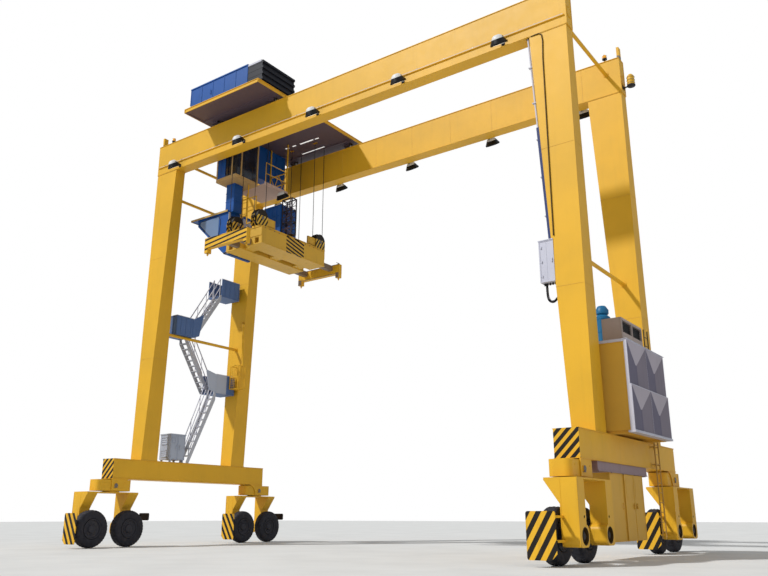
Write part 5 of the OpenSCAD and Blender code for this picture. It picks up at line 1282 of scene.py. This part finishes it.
class ORTG_OT_spreader(Operator):
    """Striped sheave guards, sheaves, lips, bolts, hydraulics, twist lock plates and the cable tub's ribs"""
    bl_idname = "yard_crane.spreader"
    bl_label = "Spreader"

    def execute(self, context):
        s = context.scene.crane_spreader
        top = SPREAD[1][2]
        centre_z = top + 0.4
        guards, pins, spokes = [], [], []
        arc = np.linspace(math.radians(-25), math.radians(205), 30)
        def arc_at(x, y, radius, angles, lift=0.0):
            return np.stack([np.full(len(angles), x), y + radius * np.cos(angles), centre_z + lift
                             + (radius + lift) * np.sin(angles)], 1)

        top_arc = np.linspace(0, math.pi, 17)
        for x, y in [(SPREAD_X + sx * SHEAVE_X, sy * SHEAVE_Y) for sx in (-1, 1) for sy in (-1, 1)]:
            for a in (x - 0.062, x + 0.062):
                rows = [arc_at(a + off, y, radius, arc) for off, radius in ((-0.006, s.guard), (0.006, s.guard),
                        (0.006, 0.345), (-0.006, 0.345))]
                guards.append(grid(np.stack(rows, 1), round_v=True, caps=True))
            shield = [(y + 0.31, top + 0.06), *((y + 0.31 * math.cos(t), centre_z + 0.03 + 0.34 * math.sin(t))
                                                for t in top_arc), (y - 0.31, top + 0.06)]
            strip, hub = arc_at(x - 0.19, y, 0.305, top_arc, 0.03), np.array([0, y, centre_z])
            shrunk = (strip - hub) * [1, 0.96, 0.96] + hub
            rows = np.stack([strip, strip + [0.38, 0, 0], shrunk + [0.38, 0, 0], shrunk], 1)
            guards += [grid(rows[:6], round_v=True, caps=True), grid(rows[11:], round_v=True, caps=True)]
            for f in (-1, 1):
                guards.append(plate(shield, 0, x + f * 0.19 - 0.006, x + f * 0.19 + 0.006))
                pins.append(lathe([(0.09, 0.075), (0.22, 0.075), (0.224, 0.068), (0.225, 0.0005)], (x, y, centre_z),
                                  0, 24, f))
                pins.append(bolts(circle_of((x + f * 0.089, y, centre_z), 0, 0.12, 8), 0, s.bolt * 0.7, 0.014, f))
                at = x + f * 0.04
                spoke = blocks([(at - 0.008, y + 0.06, centre_z - 0.015), (at + 0.008, y + 0.28, centre_z + 0.015)])
                spokes += [turned(spoke, 0, 60 * k, (x, y, centre_z)) for k in range(6)]
        piece("sheave_guards", merge(guards), "sheave_guard", "spreader", 0.002, smooth=35)
        piece("sheave_pins", merge(pins), "steel", "spreader", smooth=35)
        piece("sheave_spokes", merge(spokes), "dark", "spreader")
        lo, hi = SPREAD
        xa, xb = SPREAD_X - 1.04, SPREAD_X + 1.04
        low, high = (lo[2], lo[2] + 0.03), (hi[2] - 0.03, hi[2])
        parts = [on_face(0, at, sign, [(lo[1], hi[1], *span, 0, 0.03) for span in (low, high)]) for at,
                 sign in ((xb, 1), (xa, -1))]
        for at, sign in ((lo[1], -1), (hi[1], 1)):
            for u0, u1 in ((xa, SPREAD_X - 0.19), (SPREAD_X + 0.19, xb)):
                parts.append(on_face(1, at, sign, border(u0, u1, lo[2] + 0.34, hi[2], 0.03, 0.02)))
        piece("spreader_lips", merge(parts), "frame_yellow", "spreader", 0.003)
        heads = [(xb, y, hi[2] - 0.06) for y in np.linspace(-1.82, 1.82, 14) if abs(y) > 0.7]
        piece("spreader_bolts", bolts(heads, 0, s.bolt, 0.018), "steel", "spreader")
        parts = []
        for x in (SPREAD_X - SHEAVE_X, SPREAD_X + SHEAVE_X):
            parts.append(blocks([[(x - 0.145, y, top + 0.118), (x + 0.145, y + 0.5, top + 0.141)]
                                 for y in (-2.0, 1.5)]))
            parts.append(bolts([(x + dx, y, top + 0.14) for dx in (-0.1, 0.1) for y in (-1.4, -0.9, 0.9, 1.4)], 2,
                               s.bolt, 0.02))
        piece("headblock_pads", merge(parts), "frame_yellow", "spreader", 0.003)
        low, high = top + 0.16, top + 0.50
        ends = [on_face(0, SPREAD_X + sx * 0.85, sx, [(y - 0.29, y + 0.29, low, high, 0, 0.008)]
                        + border(y - 0.29, y + 0.29, low, high, 0.02, 0.018))
                for sx in (-1, 1) for y in (-1.35, 1.35)]
        piece("end_plates", merge(ends), "frame_yellow", "spreader", 0.002)
        pack = merge([blocks([[(SPREAD_X - 0.16, -0.95, top + 0.0), (SPREAD_X + 0.16, -0.45, top + 0.10)]]),
                      lathe([(0, 0.05), (0.3, 0.05), (0.32, 0.035), (0.33, 0.0005)],
                            (SPREAD_X - 0.05, -1.28, top + 0.07), 1, 20),
                      lathe([(0, 0.03), (0.7, 0.03)], (SPREAD_X + 0.09, 0.5, top + 0.05), 1, 16)])
        piece("spreader_hydraulics", pack, "dark", "spreader", 0.003, smooth=40)
        pin = [(0, 0.075), (0.02, 0.075), (0.025, 0.05), (0.06, 0.045), (0.062, 0.0005)]
        for name, sy in (("near_spreader_end", -1), ("far_spreader_end", 1)):
            y_out, y_in, z0, z1, half = sy * 3.029, sy * 2.829, 11.82, 12.27, 1.219
            x0, x1 = SPREAD_X - half, SPREAD_X + half
            rows = [(x0, x1, z, z + 0.025, 0, 0.012) for z in (z0, z1 - 0.025)]
            parts = [on_face(1, y_out, sy, rows), on_face(1, y_in, -sy, rows)]
            for sx in (-1, 1):
                parts.append(on_face(0, SPREAD_X + sx * half, sx, border(*sorted((y_in, y_out)), z0, z1, 0.022,
                                                                         0.012)))
            piece(name + "_lips", merge(parts), "end_beam", name, 0.003)
            fit = []
            for x in (SPREAD_X - 1.1295, SPREAD_X + 1.1295):
                y = sy * 2.9265
                lever = (-0.01, 0.16) if sy < 0 else (-0.16, 0.01)
                fit += [lathe(pin, (x, y, z1), 2, 24), lathe([(0, 0.036), (0.012, 0.036), (0.013, 0.03)],
                                                             (x, y, 11.63), 2, 20, -1),
                        bolts([(x + a, y + b, z1) for a in (-0.065, 0.065) for b in (-0.07, 0.07)], 2, s.bolt * 0.8,
                              0.016),
                        blocks([(x - 0.01, y + lever[0], z1 + 0.06), (x + 0.01, y + lever[1], z1 + 0.08)])]
            piece(name + "_locks", merge(fit), "steel", name, 0.002, smooth=35)
        bx, z0 = SPREAD_X, low_high("cable_basket")[0][2]
        ribs = [on_face(0, bx + 0.44, 1, [(-0.3, 0.7, z0 + h, z0 + h + 0.04, 0, 0.02) for h in (0.02, 1.44)])]
        along = np.linspace(bx - 0.54, bx + 0.42, 5)
        for axis, at, sign, u0, u1, posts in ((0, bx - 0.56, -1, -0.3, 0.7, (-0.28, 0.2, 0.68)),
                                              (1, -0.3, -1, bx - 0.56, bx + 0.44, along),
                                              (1, 0.7, 1, bx - 0.56, bx + 0.44, along)):
            rows = [(u0, u1, z0 + h, z0 + h + 0.04, 0, 0.025) for h in (0.05, 0.5, 0.98, 1.44)]
            ribs.append(on_face(axis, at, sign, rows + bars(posts, 0.015, z0, z0 + 1.48, 0.02)))
        piece("cable_tub_ribs", merge(ribs), "blue", "spreader", 0.002)
        lattice = []
        for za, zb in ((0.05, 0.56), (0.6, 1.11), (1.15, 1.66)):
            mid = (za + zb) / 2
            lattice += [sweep([(bx + 0.46, y, z0 + a), (bx + 1.02, y, z0 + b)], r, 6) for y in (-0.23, 0.05)
                        for a, b, r in ((za, zb, 0.013), (zb, za, 0.013), (mid, mid, 0.016))]
        for k, x in enumerate((0.60, 0.74, 0.88)):
            loops = [(bx + x + 0.05 * math.sin(t * 2.1 + k), -0.09 + 0.08 * math.cos(t * 1.7 + k), z0 + 0.05
                      + 1.55 * t / 12) for t in np.arange(13)]
            lattice.append(sweep(bend(loops, 4), 0.022, 8))
        piece("cable_lattice", merge(lattice), "underside", "spreader", smooth=50)
        rlo, rhi = low_high("hoist_ropes")
        x0, x1, y, r = rlo[0] + s.rope, rhi[0] - s.rope, rhi[1] - s.rope, s.rope
        falls = [sweep([(x, sy * (y - inward), rlo[2]), (x, sy * (y - inward), rhi[2])], r, 12) for x in (x0, x1)
                 for sy in (-1, 1) for inward in (0.0, 0.66)]
        piece("rope_falls", merge(falls), "rope", ("trolley", "spreader", (x0, y, rhi[2]), (x0, y, rlo[2])),
              smooth=50, stands_for=("hoist_ropes",))
        return {"FINISHED"}


class ORTG_OT_bogies(Operator):
    """Wheel drives in the arms' openings, ring bolts, arm edges, guard fittings, pin caps and saddle beads"""
    bl_idname = "yard_crane.bogies"
    bl_label = "Bogies"

    def execute(self, context):
        s = context.scene.crane_bogies
        for side in SIDES:
            sx, sy = signs(side)
            px, py = MID + sx * SILL_X, sy * PIVOT_Y
            out, body, saddle = px + sx * 0.607, side + "_bogie", side + "_saddle"
            drives, rims, edges = [], [], []
            for end, foot in ((-1, 0.46), (1, 0.62)):
                y, m = py + end * AXLE_Y, s.motor
                prof = [(-0.255, 0.20), (-0.235, 0.20), (-0.232, m), (-0.13, m), (-0.125, m * 0.86),
                        (-0.06, m * 0.82), (-0.05, m * 0.6),
                        (-0.028, m * 0.5), (-0.026, 0.0005)]
                drives += [lathe(prof, (out, y, AXLE_Z), 0, 36, sx),
                           bolts(circle_of((out - sx * 0.127, y, AXLE_Z), 0, m * 0.93, 14), 0, 0.009, 0.012, sx),
                           bolts(circle_of((out - sx * 0.052, y, AXLE_Z), 0, m * 0.7, 6), 0, 0.012, 0.012, sx)]
                for z, turns, ring in ((AXLE_Z, 48, [(-0.10, 0.2155), (-0.001, 0.2155), (0.0, 0.212), (-0.001, 0.195),
                                                     (-0.10, 0.195)]),
                                       (1.15, 24, [(-0.05, 0.039), (-0.001, 0.039), (-0.001, 0.028),
                                                   (-0.05, 0.028)])):
                    edges.append(lathe(ring, (out, y, z), 0, turns, sx))
                rows = [(*sorted((px + sx * a, px + sx * b)), foot, 2.03, 0, 0.006) for a,
                        b in ((0.150, 0.170), (0.587, 0.606))]
                rims.append(on_face(1, py + end * 1.17, end, rows))
            ring = bolts(circle_of((px, py, 2.08), 2, 0.345, s.ring_bolts), 2, 0.016, 0.022)
            # painted shade: the drives near black and the rings lining the arms' openings dark brown, for the shade in
            # these recesses
            piece(side + "_wheel_drives", merge(drives), "drive", body, smooth=35)
            piece(side + "_arm_openings", merge(edges), "opening", body, smooth=35)
            piece(side + "_arm_plates", merge(rims + [ring]), "arm_yellow", body, 0.002, smooth=35)
            xa, xb = sorted((px + sx * 0.157, px + sx * 0.217))
            tabs = blocks([[(xa, py - 1.68, 0.5), (xb, py - 1.668, 1.2)],
                           [(xa, py + 1.668, 1.0), (xb, py + 1.68, 1.28)]])
            piece(side + "_guard_fittings", tabs, "dark", body, 0.002)
            fit, beads = [], []
            for f in (-1, 1):
                x = px + f * 0.3635
                fit += [lathe([(0.01, 0.083), (0.02, 0.082), (0.03, 0.07), (0.031, 0.0005)], (x, py, 2.33), 0, 32, f),
                        bolts(circle_of((x + f * 0.029, py, 2.33), 0, 0.045, 3), 0, 0.009, 0.01, f),
                        blocks(np.sort([(x, py - 0.09, 2.24), (x + f * 0.012, py + 0.09, 2.262)], 0))]
                beads += [sweep([(px - f * 0.31, py - 0.62, z), (px - f * 0.31, py + 0.62, z)], 0.008, 6)
                          for z in (2.14, 2.53)]
                beads.append(bolts([(px + f * 0.315, py + o, 2.42) for o in (-0.5, 0.5)], 0, 0.016, 0.014, f))
            piece(side + "_pin_caps", merge(fit), "steel", saddle, 0.002, smooth=35)
            piece(side + "_saddle_beads", merge(beads), "yellow", saddle, smooth=40)
        return {"FINISHED"}


class ORTG_OT_stage(Operator):
    """Floor, backdrop colour, lights and camera"""
    bl_idname = "yard_crane.stage"
    bl_label = "Stage"

    def execute(self, context):
        s = context.scene.crane_stage
        scene = context.scene
        scene.view_settings.view_transform = "Standard"
        floor_mesh = bpy.data.meshes.new("floor")
        size = 160.0
        co, faces = grid(np.stack(np.meshgrid(np.linspace(-size, size, 3), np.linspace(-size, size, 3), [0.0],
                                              indexing="ij"), -1)[:, :, 0])
        floor_mesh.from_pydata(co.tolist(), [], [f[::-1] for f in faces])
        floor = bpy.data.objects.new("floor", floor_mesh)
        scene.collection.objects.link(floor)
        r = Recipe("pale floor")
        r.put(r.shader.inputs["Base Color"], r.blend(r.ramp(r.noise(0.4, 5.0), 0.3, 0.8), linear((0.86, 0.86, 0.85)),
                                                     linear((0.82, 0.82, 0.81))))
        r.shader.inputs["Roughness"].default_value = 0.95
        floor_mesh.materials.append(r.mat)
        world = bpy.data.worlds.new("studio")
        scene.world = world
        world.use_nodes = True
        tree = world.node_tree
        back = tree.nodes["Background"]
        back.inputs["Color"].default_value = (0.93, 0.96, 1.0, 1.0)
        back.inputs["Strength"].default_value = s.sky
        white = tree.nodes.new("ShaderNodeBackground")
        white.inputs["Color"].default_value = (1, 1, 1, 1)
        white.inputs["Strength"].default_value = 1.0
        path = tree.nodes.new("ShaderNodeLightPath")
        both = tree.nodes.new("ShaderNodeMath")
        both.operation = "MAXIMUM"
        tree.links.new(path.outputs["Is Camera Ray"], both.inputs[0])
        tree.links.new(path.outputs["Is Transmission Ray"], both.inputs[1])
        mix = tree.nodes.new("ShaderNodeMixShader")
        tree.links.new(both.outputs[0], mix.inputs[0])
        tree.links.new(back.outputs[0], mix.inputs[1])
        tree.links.new(white.outputs[0], mix.inputs[2])
        tree.links.new(mix.outputs[0], tree.nodes["World Output"].inputs["Surface"])
        for name, strength, turn, angle in (("key", s.sun, (46, 0, -34), 3), ("fill", s.sun * 0.07, (60, 0, 75), 60)):
            data = bpy.data.lights.new(name, "SUN")
            data.energy, data.angle = strength, math.radians(angle)
            obj = bpy.data.objects.new(name, data)
            obj.rotation_euler = [math.radians(t) for t in turn]
            scene.collection.objects.link(obj)
        cam = bpy.data.cameras.new("camera")
        cam.lens, cam.sensor_width, cam.clip_end = s.lens, 36.0, 500.0
        obj = bpy.data.objects.new("camera", cam)
        obj.location, obj.rotation_euler = s.camera_at, s.camera_turn
        scene.collection.objects.link(obj)
        scene.camera = obj
        return {"FINISHED"}


STEPS = ["paint", "wheels", "portal_steel", "cables", "lamps", "right_side", "access", "trolley", "spreader",
         "bogies", "stage"]
CLASSES = [StageSettings, WheelSettings, SteelSettings, PanelSettings, AccessSettings, TrolleySettings,
           SpreaderSettings, BogieSettings,
           ORTG_OT_paint, ORTG_OT_wheels, ORTG_OT_portal_steel, ORTG_OT_cables, ORTG_OT_lamps, ORTG_OT_right_side,
           ORTG_OT_access,
           ORTG_OT_trolley, ORTG_OT_spreader, ORTG_OT_bogies, ORTG_OT_stage]
GROUPS = {"crane_stage": StageSettings, "crane_wheels": WheelSettings, "crane_steel": SteelSettings,
          "crane_panels": PanelSettings,
          "crane_access": AccessSettings, "crane_trolley": TrolleySettings, "crane_spreader": SpreaderSettings,
          "crane_bogies": BogieSettings}


class ORTG_PT_panel(Panel):
    """Lists the crane's pieces and their sizes"""
    bl_idname = "ORTG_PT_panel"
    bl_label = "Yard Crane"
    bl_space_type = "VIEW_3D"
    bl_region_type = "UI"
    bl_category = "Yard Crane"

    def draw(self, context):
        for name, kind in GROUPS.items():
            for key in kind.__annotations__:
                self.layout.prop(getattr(context.scene, name), key)
        for step in STEPS:
            self.layout.operator("yard_crane." + step)


def register():
    for cls in CLASSES + [ORTG_PT_panel]:
        bpy.utils.register_class(cls)
    for name, kind in GROUPS.items():
        setattr(bpy.types.Scene, name, PointerProperty(type=kind))


def unregister():
    for name in GROUPS:
        delattr(bpy.types.Scene, name)
    for cls in reversed(CLASSES + [ORTG_PT_panel]):
        bpy.utils.unregister_class(cls)


def main():
    register()
    for step in STEPS:
        getattr(bpy.ops.yard_crane, step)()


if __name__ == "__main__":
    main()
